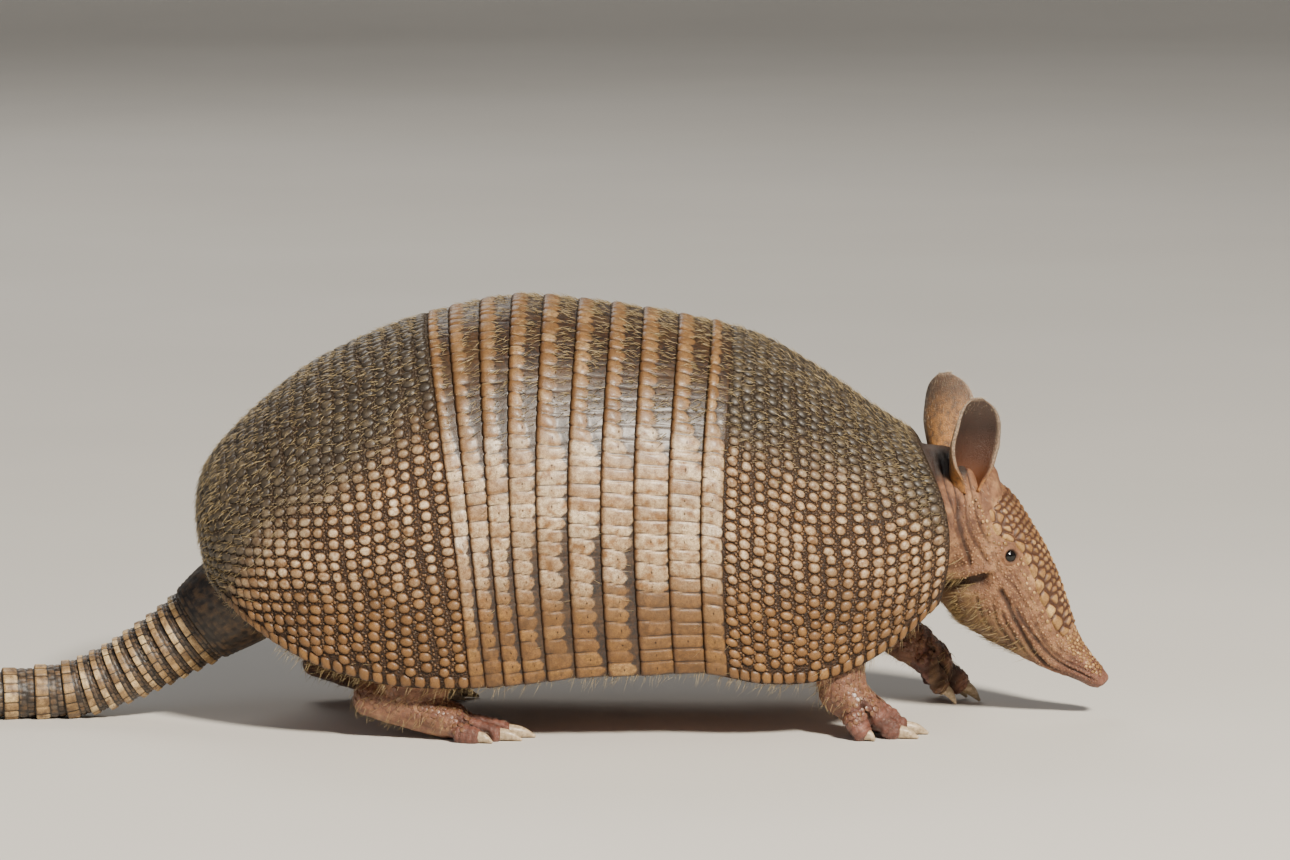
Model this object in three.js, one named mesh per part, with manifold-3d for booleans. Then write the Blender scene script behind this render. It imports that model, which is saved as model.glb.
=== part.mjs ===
// A nine-banded armadillo, a still life-size model that walks with its nose to the ground.
// Millimetres, +Z up. +X is where the head points and +Y is the animal's left. The feet stand on
// z = 0, and the origin is at the middle of the floor area that the whole animal covers.
import * as THREE from "three";
import { mergeVertices } from "three/addons/utils/BufferGeometryUtils.js";
import Module from "manifold-3d";

const wasm = await Module();
wasm.setup();

// ---------------------------------------------------------------- driving dimensions
const BODY_X = 113.5; // from the origin forward to the middle of the shell, where each x below is 0
const GAP = 0.35; // clearance between neighbours
const PLATE = 3; // thickness of the shell
const SECTION_POWER = 2.3; // 2 is an ellipse, more is boxier
const EDGE_ANGLE = THREE.MathUtils.degToRad(112); // from the back's midline round to the shell's edge
const BAND_STEP = 1.1; // how far a band's rear edge stands over the next band
const UNDER_SHELL = 1; // room between the shell and the body inside it
const TRUNK_SHORT = 20; // how far the trunk ends behind the shell's front edge

// The shell, station by station from the rear: distance along it, then x and z of the back's midline,
// x and z of the lower edge, half width, and how far the flank bows forward.
const SHELL = [
  [0, -145.5, 71.5, -143.5, 64.5, 20, 0],
  [14, -147, 86.5, -140, 56.5, 33, 0],
  [32, -143, 101.5, -131, 48.5, 46, 0],
  [56, -127, 120, -116, 38, 57, 0],
  [80, -105, 138, -95, 28.5, 65, 0],
  [104, -82, 150, -68, 22.5, 69.5, 0.5],
  [128, -56.6, 159.2, -39, 21.8, 71, 1.4],
  [150.6, -23.8, 165.9, -18.3, 23.3, 71.5, -2.8],
  [172.8, 2, 164.3, 1.6, 25.7, 71.5, -3.4],
  [197.8, 27.3, 160.8, 26.5, 26.5, 70.5, -3.4],
  [223.5, 53.8, 155.7, 51.1, 27, 69, -3.4],
  [247, 74, 149.5, 73, 23, 67, -2],
  [271, 96, 137, 97, 24, 62, 0],
  [295, 116, 123, 121, 34.5, 54, 4],
  [318, 133.5, 112, 141, 50.5, 45, 7],
];
const SHELL_END = SHELL[SHELL.length - 1][0];
// Rear edge of each movable band, and last the rear edge of the shoulder shield.
const BAND_EDGES = [128, 134, 142, 150.6, 160.7, 172.8, 185.3, 197.8, 211, 223.5];
const BELLY_SAG = 3;

// The head runs forward and down from HEAD_BACK. Each station is the distance along its axis, then
// the height of the widest line, the rise above it, the depth below it, and the half width.
const HEAD_BACK = new THREE.Vector3(152, 0, 85.5);
const HEAD_PITCH = THREE.MathUtils.degToRad(54);
const HEAD_YAW = THREE.MathUtils.degToRad(7);
const HEAD = [
  [-15, -5, 14, 18, 17],
  [-6, -5, 18.5, 24, 20.5],
  [10, -4, 20.5, 26, 22],
  [21, -4, 20, 26.5, 21.5],
  [36, -5, 19.5, 24.5, 18.5],
  [48, -5.5, 17.3, 19.5, 14.5],
  [62, -4.5, 12, 14, 10.3],
  [71, -3.5, 9, 10.8, 8.6],
  [79, -1.7, 6.8, 7.2, 7.4],
  [86, 0.2, 5.3, 4.8, 6.6],
  [90.5, 1.2, 4.4, 3.9, 5.8],
];
const EYE = { along: 24, round: 77, radius: 3, sunk: 2.1 };
// The forehead's shield: distance along the head, and degrees that it reaches down each side.
const HEAD_SHIELD = [
  [3, 64],
  [9, 77],
  [15, 77],
  [22, 63],
  [34, 62],
  [48, 59],
  [66, 50],
];
const HEAD_SHIELD_THICK = 1.3;
const EAR = { length: 37, tubeRadius: 6, cupRadius: 13, thick: 1.1 };

const NECK = [
  [108, 0, 79, 41, 29],
  [128, 0, 79.5, 37.5, 28],
  [142, 0, 79.5, 31.5, 27.5],
  [158, 1, 76.5, 22.5, 24],
];

// The tail comes out under the shell, slopes to the floor and lies along it.
const TAIL = [
  [-118, 0, 56.5, 21],
  [-137, 0, 44, 18.5],
  [-151, 0.5, 34, 15.6],
  [-165, 1, 25.3, 14],
  [-179, 1.5, 17.5, 12.8],
  [-196, 1.5, 11.4, 11.7],
  [-230, -2, 9.2, 9.9],
  [-280, -15, 7.1, 7.7],
  [-335, -27, 5.3, 5.8],
  [-390, -30, 3.7, 4.2],
  [-436, -26, 2.1, 2.6],
];
const TAIL_RINGS = 13;
const TAIL_RING_START = 0.075; // shares of the tail's length
const TAIL_RING_END = 0.62;
const TAIL_STEP = 1.3;

// Each leg is a list of joints: x, y, z, half width, half height. y is given for the right side.
const LEGS = {
  foreleg_right: {
    side: -1,
    upper: [[98, 34, 56, 13, 17], [100, 41, 35, 11, 13], [103, 44, 22, 9, 9.5]],
    paw: [[102, 44, 20, 8.5, 9], [109, 45, 14, 10, 8], [115, 45, 11, 9.5, 6]],
    toes: [
      [[107, 53.5, 10, 4, 4], [111, 55.5, 4.1, 3.5, 3.7]],
      [[113, 49, 12.5, 4.5, 4.8], [123, 50.5, 4.3, 3.8, 4]],
      [[115, 42, 12.5, 4.5, 4.8], [126, 41.5, 4.4, 3.8, 4]],
      [[111, 36.5, 10, 4, 4], [118, 34, 4, 3.3, 3.6]],
    ],
    claws: [8, 12, 13, 9],
  },
  foreleg_left: {
    side: 1,
    upper: [[106, 34, 55, 13, 17], [115, 40, 39, 11, 13], [126, 43, 30, 9, 9.5]],
    paw: [[125, 43, 30, 8.5, 9], [134, 43, 24, 10, 8.5], [140, 43, 19, 9.5, 7]],
    toes: [
      [[135, 51.5, 20, 4, 4], [141, 53, 9, 3.4, 3.6]],
      [[139, 46.5, 21, 4.8, 5], [148, 47, 8.5, 4, 4.2]],
      [[142, 40, 21, 4.8, 5], [152, 39, 8.5, 4, 4.2]],
      [[138, 34.5, 19, 4, 4], [145, 33, 8, 3.3, 3.5]],
    ],
    claws: [10, 12.5, 13, 10],
  },
  hindleg_right: {
    side: -1,
    upper: [[-62, 34, 58, 17, 26], [-52, 42, 40, 15, 19], [-55, 47, 28, 11, 13], [-68, 48, 20, 8, 9]],
    paw: [[-80, 48, 17.5, 6.5, 7], [-62, 48, 13, 8, 8], [-46, 48.5, 8, 11, 6.8]],
    toes: [
      [[-44, 58.5, 5, 3.8, 4], [-38, 60.5, 3.8, 3.3, 3.6]],
      [[-42, 54, 6, 4.2, 4.6], [-30, 55.5, 4, 3.6, 3.9]],
      [[-41, 48.5, 6.2, 4.4, 4.8], [-27, 48.5, 4.2, 3.8, 4.1]],
      [[-42, 43, 6, 4.2, 4.6], [-30, 41.5, 4, 3.6, 3.9]],
      [[-45, 38.5, 5, 3.8, 4], [-38, 36.5, 3.8, 3.3, 3.6]],
    ],
    claws: [7, 10, 12, 10, 7],
  },
};
const LEFT_HIND_BEHIND = 24; // how far the left hind leg is behind the right one
const SOLE_DIP = 1.5; // how far the soles would sink, so that they are cut flat on the floor

// ---------------------------------------------------------------- materials
const paint = (color, roughness) => new THREE.MeshStandardMaterial({ color, roughness, metalness: 0 });
const MATERIALS = {
  shell: paint(0x8f7458, 0.5),
  band: paint(0xa5835c, 0.45),
  skin: paint(0x9a7460, 0.7),
  mask: paint(0xb68c5c, 0.55),
  tail: paint(0x94795f, 0.5),
  ear: paint(0x6f5240, 0.6),
  eye: paint(0x0c0a09, 0.1),
  claw: paint(0xb9a184, 0.4),
};

// ---------------------------------------------------------------- curves and solids
const V = (x, y, z) => new THREE.Vector3(x, y, z);
const power = (value, exponent) => Math.sign(value) * Math.abs(value) ** exponent;
const steps = (count, from = 0, to = 1) =>
  Array.from({ length: count + 1 }, (_, i) => from + ((to - from) * i) / count);

// Smooth values between the rows of a table whose first column rises.
function between(table, at) {
  const last = table.length - 1;
  let i = 0;
  while (i < last - 1 && at > table[i + 1][0]) i += 1;
  const [a, b] = [table[i], table[i + 1]];
  const span = b[0] - a[0];
  const f = (at - a[0]) / span;
  return a.slice(1).map((_, k) => {
    const slope = (p, q) => (q[k + 1] - p[k + 1]) / (q[0] - p[0]);
    const here = slope(a, b);
    const before = i > 0 ? (slope(table[i - 1], a) + here) / 2 : here;
    const after = i < last - 1 ? (here + slope(b, table[i + 2])) / 2 : here;
    const [p, q] = [a[k + 1], b[k + 1]];
    return (
      p * (1 + 2 * f) * (1 - f) ** 2 +
      q * f * f * (3 - 2 * f) +
      before * span * f * (1 - f) ** 2 +
      after * span * f * f * (f - 1)
    );
  });
}

// A solid from points and triangles, turned face out.
function solidFrom(points, faces) {
  const volume = faces.reduce(
    (sum, [a, b, c]) => sum + points[a].dot(points[b].clone().cross(points[c])),
    0,
  );
  const outward = volume < 0 ? faces.map(([a, b, c]) => [a, c, b]) : faces;
  return new wasm.Manifold(
    new wasm.Mesh({
      numProp: 3,
      vertProperties: new Float32Array(points.flatMap((p) => [p.x, p.y, p.z])),
      triVerts: new Uint32Array(outward.flat()),
    }),
  );
}

// A closed body through rings of equal length, with a fan over each end.
function loft(rings, firstTip = null, lastTip = null) {
  const around = rings[0].length;
  const points = rings.flat();
  const faces = [];
  for (let i = 0; i + 1 < rings.length; i += 1) {
    for (let j = 0; j < around; j += 1) {
      const [a, b] = [i * around + j, i * around + ((j + 1) % around)];
      faces.push([a, b, b + around], [a, b + around, a + around]);
    }
  }
  const middle = (ring) =>
    ring.reduce((sum, p) => sum.add(p), V(0, 0, 0)).divideScalar(around);
  const first = points.push(firstTip ?? middle(rings[0])) - 1;
  const last = points.push(lastTip ?? middle(rings[rings.length - 1])) - 1;
  const base = (rings.length - 1) * around;
  for (let j = 0; j < around; j += 1) {
    const next = (j + 1) % around;
    faces.push([first, next, j], [last, base + j, base + next]);
  }
  return solidFrom(points, faces);
}

// A closed plate between two grids of points of the same size.
function plate(outer, inner) {
  const [rows, cols] = [outer.length, outer[0].length];
  const points = [...outer.flat(), ...inner.flat()];
  const at = (layer, i, j) => layer * rows * cols + i * cols + j;
  const faces = [];
  const quad = (a, b, c, d) => faces.push([a, b, c], [a, c, d]);
  for (let i = 0; i + 1 < rows; i += 1) {
    for (let j = 0; j + 1 < cols; j += 1) {
      quad(at(0, i, j), at(0, i, j + 1), at(0, i + 1, j + 1), at(0, i + 1, j));
      quad(at(1, i, j), at(1, i + 1, j), at(1, i + 1, j + 1), at(1, i, j + 1));
    }
    const [l, r] = [0, cols - 1];
    quad(at(0, i, l), at(0, i + 1, l), at(1, i + 1, l), at(1, i, l));
    quad(at(0, i + 1, r), at(0, i, r), at(1, i, r), at(1, i + 1, r));
  }
  for (let j = 0; j + 1 < cols; j += 1) {
    const [t, b] = [0, rows - 1];
    quad(at(0, t, j + 1), at(0, t, j), at(1, t, j), at(1, t, j + 1));
    quad(at(0, b, j), at(0, b, j + 1), at(1, b, j + 1), at(1, b, j));
  }
  return solidFrom(points, faces);
}

// A body with round ends along a curve. Each joint is x, y, z, half width across y, half height.
function limb(joints, { sides = 10, rings = 4, grow = 0, dome = 0.5 } = {}) {
  const curve = new THREE.CatmullRomCurve3(joints.map(([x, y, z]) => V(x, y, z)), false, "centripetal");
  const sizes = joints.map(([, , , w, h], i) => [i, w, h ?? w]);
  const ringAt = (f, shift, scale) => {
    const tangent = curve.getTangent(f);
    const side = V(0, 1, 0).addScaledVector(tangent, -tangent.y).normalize();
    const up = side.clone().cross(tangent);
    const [w, h] = between(sizes, f * (joints.length - 1)).map((r) => (r + grow) * scale);
    const centre = curve.getPoint(f).addScaledVector(tangent, shift);
    return steps(sides - 1, 0, 2 * Math.PI * (1 - 1 / sides)).map((a) =>
      centre
        .clone()
        .addScaledVector(side, w * Math.cos(a))
        .addScaledVector(up, h * Math.sin(a)),
    );
  };
  const reach = (f) => dome * (Math.min(...between(sizes, f * (joints.length - 1))) + grow);
  const tip = (f, shift) => curve.getPoint(f).addScaledVector(curve.getTangent(f), shift);
  const body = steps(rings).map((f) => ringAt(f, 0, 1));
  const domed = [ringAt(0, -reach(0), 0.72), ...body, ringAt(1, reach(1), 0.72)];
  return loft(domed, tip(0, -1.5 * reach(0)), tip(1, 1.5 * reach(1)));
}

function geometryOf(solid) {
  const { vertProperties, triVerts, numProp, numVert } = solid.getMesh();
  const position = new Float32Array(numVert * 3);
  for (let i = 0; i < numVert; i += 1) {
    position.set(vertProperties.subarray(i * numProp, i * numProp + 3), i * 3);
  }
  const geometry = new THREE.BufferGeometry();
  geometry.setAttribute("position", new THREE.BufferAttribute(position, 3));
  geometry.setIndex(new THREE.BufferAttribute(triVerts, 1));
  geometry.computeVertexNormals();
  return geometry;
}

function solidOf(geometry, place) {
  geometry.deleteAttribute("normal");
  geometry.deleteAttribute("uv");
  const merged = mergeVertices(geometry.translate(place.x, place.y, place.z));
  return new wasm.Manifold(
    new wasm.Mesh({
      numProp: 3,
      vertProperties: merged.attributes.position.array,
      triVerts: new Uint32Array(merged.index.array),
    }),
  );
}

const armadillo = new THREE.Group();
armadillo.position.x = BODY_X;

function add(name, solid, material) {
  const mesh = new THREE.Mesh(geometryOf(solid), material);
  mesh.name = name;
  armadillo.add(mesh);
}

// ---------------------------------------------------------------- shell
// A point on the shell: how far along it, how far round it (-1 right edge, 0 midline, 1 left edge).
function onShell(at, round) {
  const [topX, topZ, edgeX, edgeZ, halfWidth, bow] = between(SHELL, at);
  const angle = Math.abs(round) * EDGE_ANGLE;
  const exponent = 2 / SECTION_POWER;
  const down = (1 - power(Math.cos(angle), exponent)) / (1 - power(Math.cos(EDGE_ANGLE), exponent));
  return V(
    topX + (edgeX - topX) * down + bow * Math.sin(Math.PI * down),
    Math.sign(round) * halfWidth * Math.sin(angle) ** exponent,
    topZ + (edgeZ - topZ) * down,
  );
}

// The same point moved out along the surface's normal.
function offShell(at, round, out) {
  const reach = 0.5;
  const side = Math.min(Math.max(round, -0.98), 0.98);
  const forward = onShell(at + reach, side).sub(onShell(at - reach, side));
  const across = onShell(at, side + 0.02).sub(onShell(at, side - 0.02));
  return onShell(at, round).addScaledVector(forward.cross(across).normalize(), out);
}

const shellRow = (at, columns, out) =>
  steps(columns, -1, 1).map((round) => offShell(at, round, out));

function addShield(name, from, to, rows, columns) {
  const stations = steps(rows, from, to);
  add(
    name,
    plate(
      stations.map((at) => shellRow(at, columns, 0)),
      stations.map((at) => shellRow(at, columns, -PLATE)),
    ),
    MATERIALS.shell,
  );
}

const BAND_COUNT = BAND_EDGES.length - 1;
const COLUMNS = 16; // facets round the shell, from edge to edge
addShield("pelvic_shield", 0, BAND_EDGES[0] - GAP, 8, COLUMNS);
addShield("scapular_shield", BAND_EDGES[BAND_COUNT], SHELL_END, 7, COLUMNS);
for (let i = 0; i < BAND_COUNT; i += 1) {
  const [rear, front] = [BAND_EDGES[i], BAND_EDGES[i + 1] - GAP];
  add(
    `band_${i + 1}`,
    plate(
      [shellRow(rear, COLUMNS, 0.2), shellRow(front, COLUMNS, 0.2 - BAND_STEP)],
      [shellRow(rear, COLUMNS, -PLATE), shellRow(front, COLUMNS, -PLATE)],
    ),
    MATERIALS.band,
  );
}

// The room that the shell takes, for cutting whatever comes out from under it.
function shellRoom() {
  const stations = steps(24, -GAP, SHELL_END + GAP);
  const edge = 1.01;
  const row = (at, out) => steps(20, -edge, edge).map((round) => offShell(at, round, out));
  return plate(
    stations.map((at) => row(at, 12)),
    stations.map((at) => row(at, -PLATE - GAP)),
  );
}
const aroundShell = shellRoom();

// ---------------------------------------------------------------- trunk
function trunkSolid(grow) {
  const inset = -(PLATE + UNDER_SHELL) + grow;
  const rings = steps(13, 6 - grow, SHELL_END - TRUNK_SHORT + grow).map((at) => {
    const upper = steps(14, -1, 1).map((round) => offShell(at, round, inset));
    const [right, left] = [upper[0], upper[upper.length - 1]];
    const belly = steps(5)
      .slice(1, -1)
      .map((f) =>
        left
          .clone()
          .lerp(right, (1 - Math.cos(Math.PI * f)) / 2)
          .add(V(0, 0, -(BELLY_SAG + grow) * Math.sin(Math.PI * f))),
      );
    return [...upper, ...belly];
  });
  return loft(rings);
}
const trunk = trunkSolid(0);
const aroundTrunk = trunkSolid(GAP).add(aroundShell);

// ---------------------------------------------------------------- head
const headForward = V(
  Math.cos(HEAD_PITCH) * Math.cos(HEAD_YAW),
  Math.cos(HEAD_PITCH) * Math.sin(HEAD_YAW),
  -Math.sin(HEAD_PITCH),
);
const headLeft = V(-Math.sin(HEAD_YAW), Math.cos(HEAD_YAW), 0);
const headUp = headForward.clone().cross(headLeft);

// A point on the head: distance along its axis, degrees round from the crown (plus is left).
function onHead(at, round, out = 0) {
  const [middle, rise, depth, halfWidth] = between(HEAD, at);
  const angle = THREE.MathUtils.degToRad(round);
  const tall = Math.cos(angle) > 0 ? rise : depth;
  return HEAD_BACK.clone()
    .addScaledVector(headForward, at)
    .addScaledVector(headUp, middle + (tall + out) * power(Math.cos(angle), 0.93))
    .addScaledVector(headLeft, (halfWidth + out) * power(Math.sin(angle), 0.9));
}

function headSolid(grow) {
  const [back, nose] = [HEAD[0][0], HEAD[HEAD.length - 1][0]];
  const stations = [back, -8, 0, 9, 19, 29, 39, 49, 58, 67, 75, 82, 87, nose];
  const rings = stations.map((at) => steps(17, 0, 340).map((round) => onHead(at, round, grow)));
  const tip = (at, shift) =>
    onHead(at, 0)
      .add(onHead(at, 180))
      .divideScalar(2)
      .addScaledVector(headForward, shift);
  return loft(rings, tip(back, -2 - grow), tip(nose, 1.2 + grow));
}

function eyeCentre(side) {
  return onHead(EYE.along, side * EYE.round, -EYE.sunk);
}
const eyeSphere = (side, radius) => solidOf(new THREE.SphereGeometry(radius, 10, 6), eyeCentre(side));

const neckSolid = (grow) => limb(NECK, { sides: 14, rings: 3, dome: 0.2, grow });
const aroundHead = headSolid(GAP);
const aroundNeck = neckSolid(GAP);
add("trunk", trunk, MATERIALS.skin);
add("neck", neckSolid(0).subtract(aroundTrunk).subtract(aroundHead), MATERIALS.skin);

const head = headSolid(0)
  .subtract(aroundTrunk)
  .subtract(eyeSphere(-1, EYE.radius + GAP))
  .subtract(eyeSphere(1, EYE.radius + GAP));
add("head", head, MATERIALS.skin);
add("eye_right", eyeSphere(-1, EYE.radius), MATERIALS.eye);
add("eye_left", eyeSphere(1, EYE.radius), MATERIALS.eye);

const maskGrid = (out) =>
  HEAD_SHIELD.map(([at, half]) => steps(6, -half, half).map((round) => onHead(at, round, out)));
const mask = plate(maskGrid(GAP + HEAD_SHIELD_THICK), maskGrid(-HEAD_SHIELD_THICK));
add("head_shield", mask.subtract(aroundHead).subtract(aroundNeck), MATERIALS.mask);

// ---------------------------------------------------------------- ears
// An ear is a tube at its root that opens into a cup with an oval rim. It is laid out along its
// own z, with the opening towards its own x, and then turned into place.
const EAR_SHAPE = [
  [0, EAR.tubeRadius, 150],
  [0.14, EAR.tubeRadius + 1, 128],
  [0.32, EAR.tubeRadius + 4, 88],
  [0.52, EAR.cupRadius, 66],
  [0.75, EAR.cupRadius, 56],
  [0.9, EAR.cupRadius, 37],
  [1, EAR.cupRadius, 10],
];
function earGrid(out) {
  return steps(7).map((f) => {
    const [radius, half] = between(EAR_SHAPE, f);
    return steps(6, -half, half).map((degrees) => {
      const a = THREE.MathUtils.degToRad(degrees);
      return V(
        radius - (radius + out) * Math.cos(a) + 5 * f * f,
        (radius + out) * Math.sin(a),
        EAR.length * f,
      );
    });
  });
}
function earSolid(side, root, tilt, facing) {
  const up = tilt.clone().normalize();
  const open = facing.clone().addScaledVector(up, -facing.dot(up)).normalize();
  const matrix = new THREE.Matrix4()
    .makeBasis(open, up.clone().cross(open).multiplyScalar(side), up)
    .setPosition(root);
  const turned = (grid) => grid.map((row) => row.map((p) => p.applyMatrix4(matrix)));
  return plate(turned(earGrid(0)), turned(earGrid(-EAR.thick))).subtract(aroundHead);
}
const EARS = {
  ear_right: [-1, onHead(-11, -66, -4), V(0.13, -0.2, 0.95), V(0.6, -0.8, 0)],
  ear_left: [1, onHead(-15.5, 60, -3), V(0, 0.24, 0.97), V(0.55, 0.83, 0)],
};

for (const [name, [side, root, tilt, facing]] of Object.entries(EARS)) {
  add(name, earSolid(side, root, tilt, facing).subtract(aroundNeck), MATERIALS.ear);
}

// ---------------------------------------------------------------- legs
const floorBlock = solidOf(new THREE.BoxGeometry(900, 400, 40), V(-100, 0, -20));
const onSide = (joints, side) => joints.map(([x, y, z, w, h]) => [x, side * y, z, w, h]);

function legSolid({ side, upper, paw, toes }, grow) {
  const part = (joints, options) => limb(onSide(joints, side), { ...options, grow });
  return toes.reduce(
    (leg, toe) => leg.add(part(toe, { sides: 6, rings: 1 })),
    part(upper, { sides: 9, rings: 3 }).add(part(paw, { sides: 8, rings: 2 })),
  );
}

// A claw runs on from its toe, curves down and ends just above the floor.
function clawSolid(toe, length, side) {
  const [[x0, y0, z0], [x1, y1, z1, w]] = toe;
  const [dx, dy, dz] = [x1 - x0, y1 - y0, z1 - z0];
  const run = length / Math.hypot(dx, dy, dz);
  const base = [x1, y1, z1 + 0.3, 0.62 * w, 0.72 * w];
  const middle = [x1 + dx * run * 0.55, y1 + dy * run * 0.55, z1 + 0.2 + (1.6 - z1) * 0.45, 0.5 * w, 0.55 * w];
  const end = [x1 + dx * run, y1 + dy * run, 0.7, 0.55, 0.6];
  return limb(onSide([base, middle, end], side), { sides: 5, rings: 2 });
}

const moveBack = (joints) => joints.map(([x, ...rest]) => [x - LEFT_HIND_BEHIND, ...rest]);
const nearHind = LEGS.hindleg_right;
LEGS.hindleg_left = {
  side: 1,
  upper: moveBack(nearHind.upper),
  paw: moveBack(nearHind.paw),
  toes: nearHind.toes.map(moveBack),
  claws: nearHind.claws,
};

for (const [name, leg] of Object.entries(LEGS)) {
  const lowered = (joints) => joints.map(([x, y, z, w, h]) => [x, y, z - SOLE_DIP, w, h]);
  const placed = { ...leg, paw: lowered(leg.paw), toes: leg.toes.map(lowered) };
  const room = aroundTrunk.add(aroundNeck).add(floorBlock);
  add(name, legSolid(placed, 0).subtract(room), MATERIALS.skin);
  const around = legSolid(placed, GAP);
  placed.toes.forEach((toe, i) => {
    const claw = clawSolid(toe, leg.claws[i], leg.side);
    add(`${name}_claw_${i + 1}`, claw.subtract(around).subtract(floorBlock), MATERIALS.claw);
  });
}

// ---------------------------------------------------------------- tail
const tailCurve = new THREE.CatmullRomCurve3(TAIL.map(([x, y, z]) => V(x, y, z)), false, "centripetal");
const tailSizes = TAIL.map(([, , , r], i) => [i / (TAIL.length - 1), r]);

// A ring round the tail at a share of its points, drawn in or out by a little.
function tailRing(f, out, sides = 12) {
  const tangent = tailCurve.getTangent(f);
  const side = V(0, 1, 0).addScaledVector(tangent, -tangent.y).normalize();
  const up = side.clone().cross(tangent);
  const radius = between(tailSizes, f)[0] + out;
  return steps(sides - 1, 0.5, sides - 0.5).map((turn) => {
    const a = (2 * Math.PI * turn) / sides;
    const p = tailCurve
      .getPoint(f)
      .addScaledVector(side, radius * Math.cos(a))
      .addScaledVector(up, radius * Math.sin(a));
    return p.setZ(Math.max(p.z, 0));
  });
}

const ringEdges = steps(TAIL_RINGS, TAIL_RING_START * 2.2, TAIL_RING_END);
const tailGap = 0.0012;
function tailRings(from, to) {
  const rings = [];
  for (let i = from; i < to; i += 1) {
    rings.push(tailRing(ringEdges[i] + tailGap, -TAIL_STEP), tailRing(ringEdges[i + 1] - tailGap, 0));
  }
  return loft(rings);
}
const tailBase = loft(steps(3, 0.02, ringEdges[0] - tailGap).map((f) => tailRing(f, -0.3)));
add("tail_base", tailBase.subtract(aroundTrunk), MATERIALS.tail);
add("tail_rings_1", tailRings(0, 4), MATERIALS.tail);
add("tail_rings_2", tailRings(4, 8), MATERIALS.tail);
add("tail_rings_3", tailRings(8, TAIL_RINGS), MATERIALS.tail);
add("tail_tip", loft(steps(7, TAIL_RING_END + tailGap, 1).map((f) => tailRing(f, -0.2))), MATERIALS.tail);

export default armadillo;
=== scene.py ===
# %% [markdown]
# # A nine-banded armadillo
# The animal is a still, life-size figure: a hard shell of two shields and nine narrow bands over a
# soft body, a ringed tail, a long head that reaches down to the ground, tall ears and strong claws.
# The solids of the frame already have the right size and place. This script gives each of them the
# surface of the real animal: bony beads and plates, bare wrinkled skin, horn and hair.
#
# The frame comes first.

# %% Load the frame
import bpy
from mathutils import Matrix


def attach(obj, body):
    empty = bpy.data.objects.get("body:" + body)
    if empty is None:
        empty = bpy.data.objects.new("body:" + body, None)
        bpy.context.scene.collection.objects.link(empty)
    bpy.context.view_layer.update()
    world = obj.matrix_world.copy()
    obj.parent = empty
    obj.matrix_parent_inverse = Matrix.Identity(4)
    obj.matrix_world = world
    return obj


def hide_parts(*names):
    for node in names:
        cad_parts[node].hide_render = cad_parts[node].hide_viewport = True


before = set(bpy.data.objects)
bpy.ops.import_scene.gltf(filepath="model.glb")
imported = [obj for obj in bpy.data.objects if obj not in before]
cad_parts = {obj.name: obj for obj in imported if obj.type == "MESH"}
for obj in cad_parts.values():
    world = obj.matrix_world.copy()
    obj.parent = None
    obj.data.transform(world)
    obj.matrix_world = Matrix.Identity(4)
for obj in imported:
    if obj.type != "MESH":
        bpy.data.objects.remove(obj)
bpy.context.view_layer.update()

import math

import bmesh
import bpy
import numpy as np
from mathutils import Matrix, Vector, kdtree

MM = 0.001

# %% [markdown]
# ## Curves
# Shell, head and tail are all smooth surfaces through a few measured sections. One way is to model
# them by eye; here each is a table of sections with a smooth curve between the rows, so that every
# bead, plate and hair can be set down exactly on the surface, and all of them agree with the solids.

# %% Smooth values between measured rows
def between(table, at):
    """Smooth values between the rows of a table whose first column rises."""
    rows = np.asarray(table, float)
    at = np.asarray(at, float)
    places, values = rows[:, 0], rows[:, 1:]
    slopes = np.diff(values, axis=0) / np.diff(places)[:, None]
    tangents = np.vstack([slopes[:1], (slopes[:-1] + slopes[1:]) / 2, slopes[-1:]])
    i = np.clip(np.searchsorted(places, at, side="left") - 1, 0, len(places) - 2)
    span = places[i + 1] - places[i]
    f = ((at - places[i]) / span)[..., None]
    span = span[..., None]
    return (values[i] * (1 + 2 * f) * (1 - f) ** 2 + values[i + 1] * f * f * (3 - 2 * f)
            + tangents[i] * span * f * (1 - f) ** 2 + tangents[i + 1] * span * f * f * (f - 1))


def smooth(low, high, value):
    """0 below low, 1 above high, and a soft step between them."""
    t = np.clip((value - low) / (high - low), 0, 1)
    return t * t * (3 - 2 * t)


def unit(vectors):
    return vectors / np.maximum(np.linalg.norm(vectors, axis=-1, keepdims=True), 1e-12)


def wobble(points, size, seed):
    """A smooth random value from -1 to 1 at each point, with humps of about the given size."""
    rng = np.random.default_rng(seed)
    total = np.zeros(points.shape[:-1])
    for _ in range(7):
        wave = unit(rng.normal(size=3)) * rng.uniform(0.6, 1.5) * 2 * np.pi / (2.2 * size)
        total += np.sin(points @ wave + rng.uniform(0, 2 * np.pi))
    return total / 4.5


# %% [markdown]
# ## Meshes
# Thousands of beads and hairs are copies of a few small shapes. Blender can instance them, but the
# finished model has to hold real faces, so each family is joined into one mesh here: a small shape is
# made once with mesh operators and then set down wherever a table of places says. Each mesh also gets
# a UV map of its own, laid out like the surface that it sits on.

# %% Helpers that make meshes
def arrays_of(mesh):
    """Vertex places, the vertex of each face corner, and the corners of each face."""
    points = np.empty(len(mesh.vertices) * 3)
    mesh.vertices.foreach_get("co", points)
    corners = np.empty(len(mesh.loops), np.int32)
    mesh.loops.foreach_get("vertex_index", corners)
    totals = np.empty(len(mesh.polygons), np.int32)
    mesh.polygons.foreach_get("loop_total", totals)
    return points.reshape(-1, 3), corners, totals


def mesh_of(bm, name):
    mesh = bpy.data.meshes.new(name)
    bm.to_mesh(mesh)
    bm.free()
    return mesh


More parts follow.
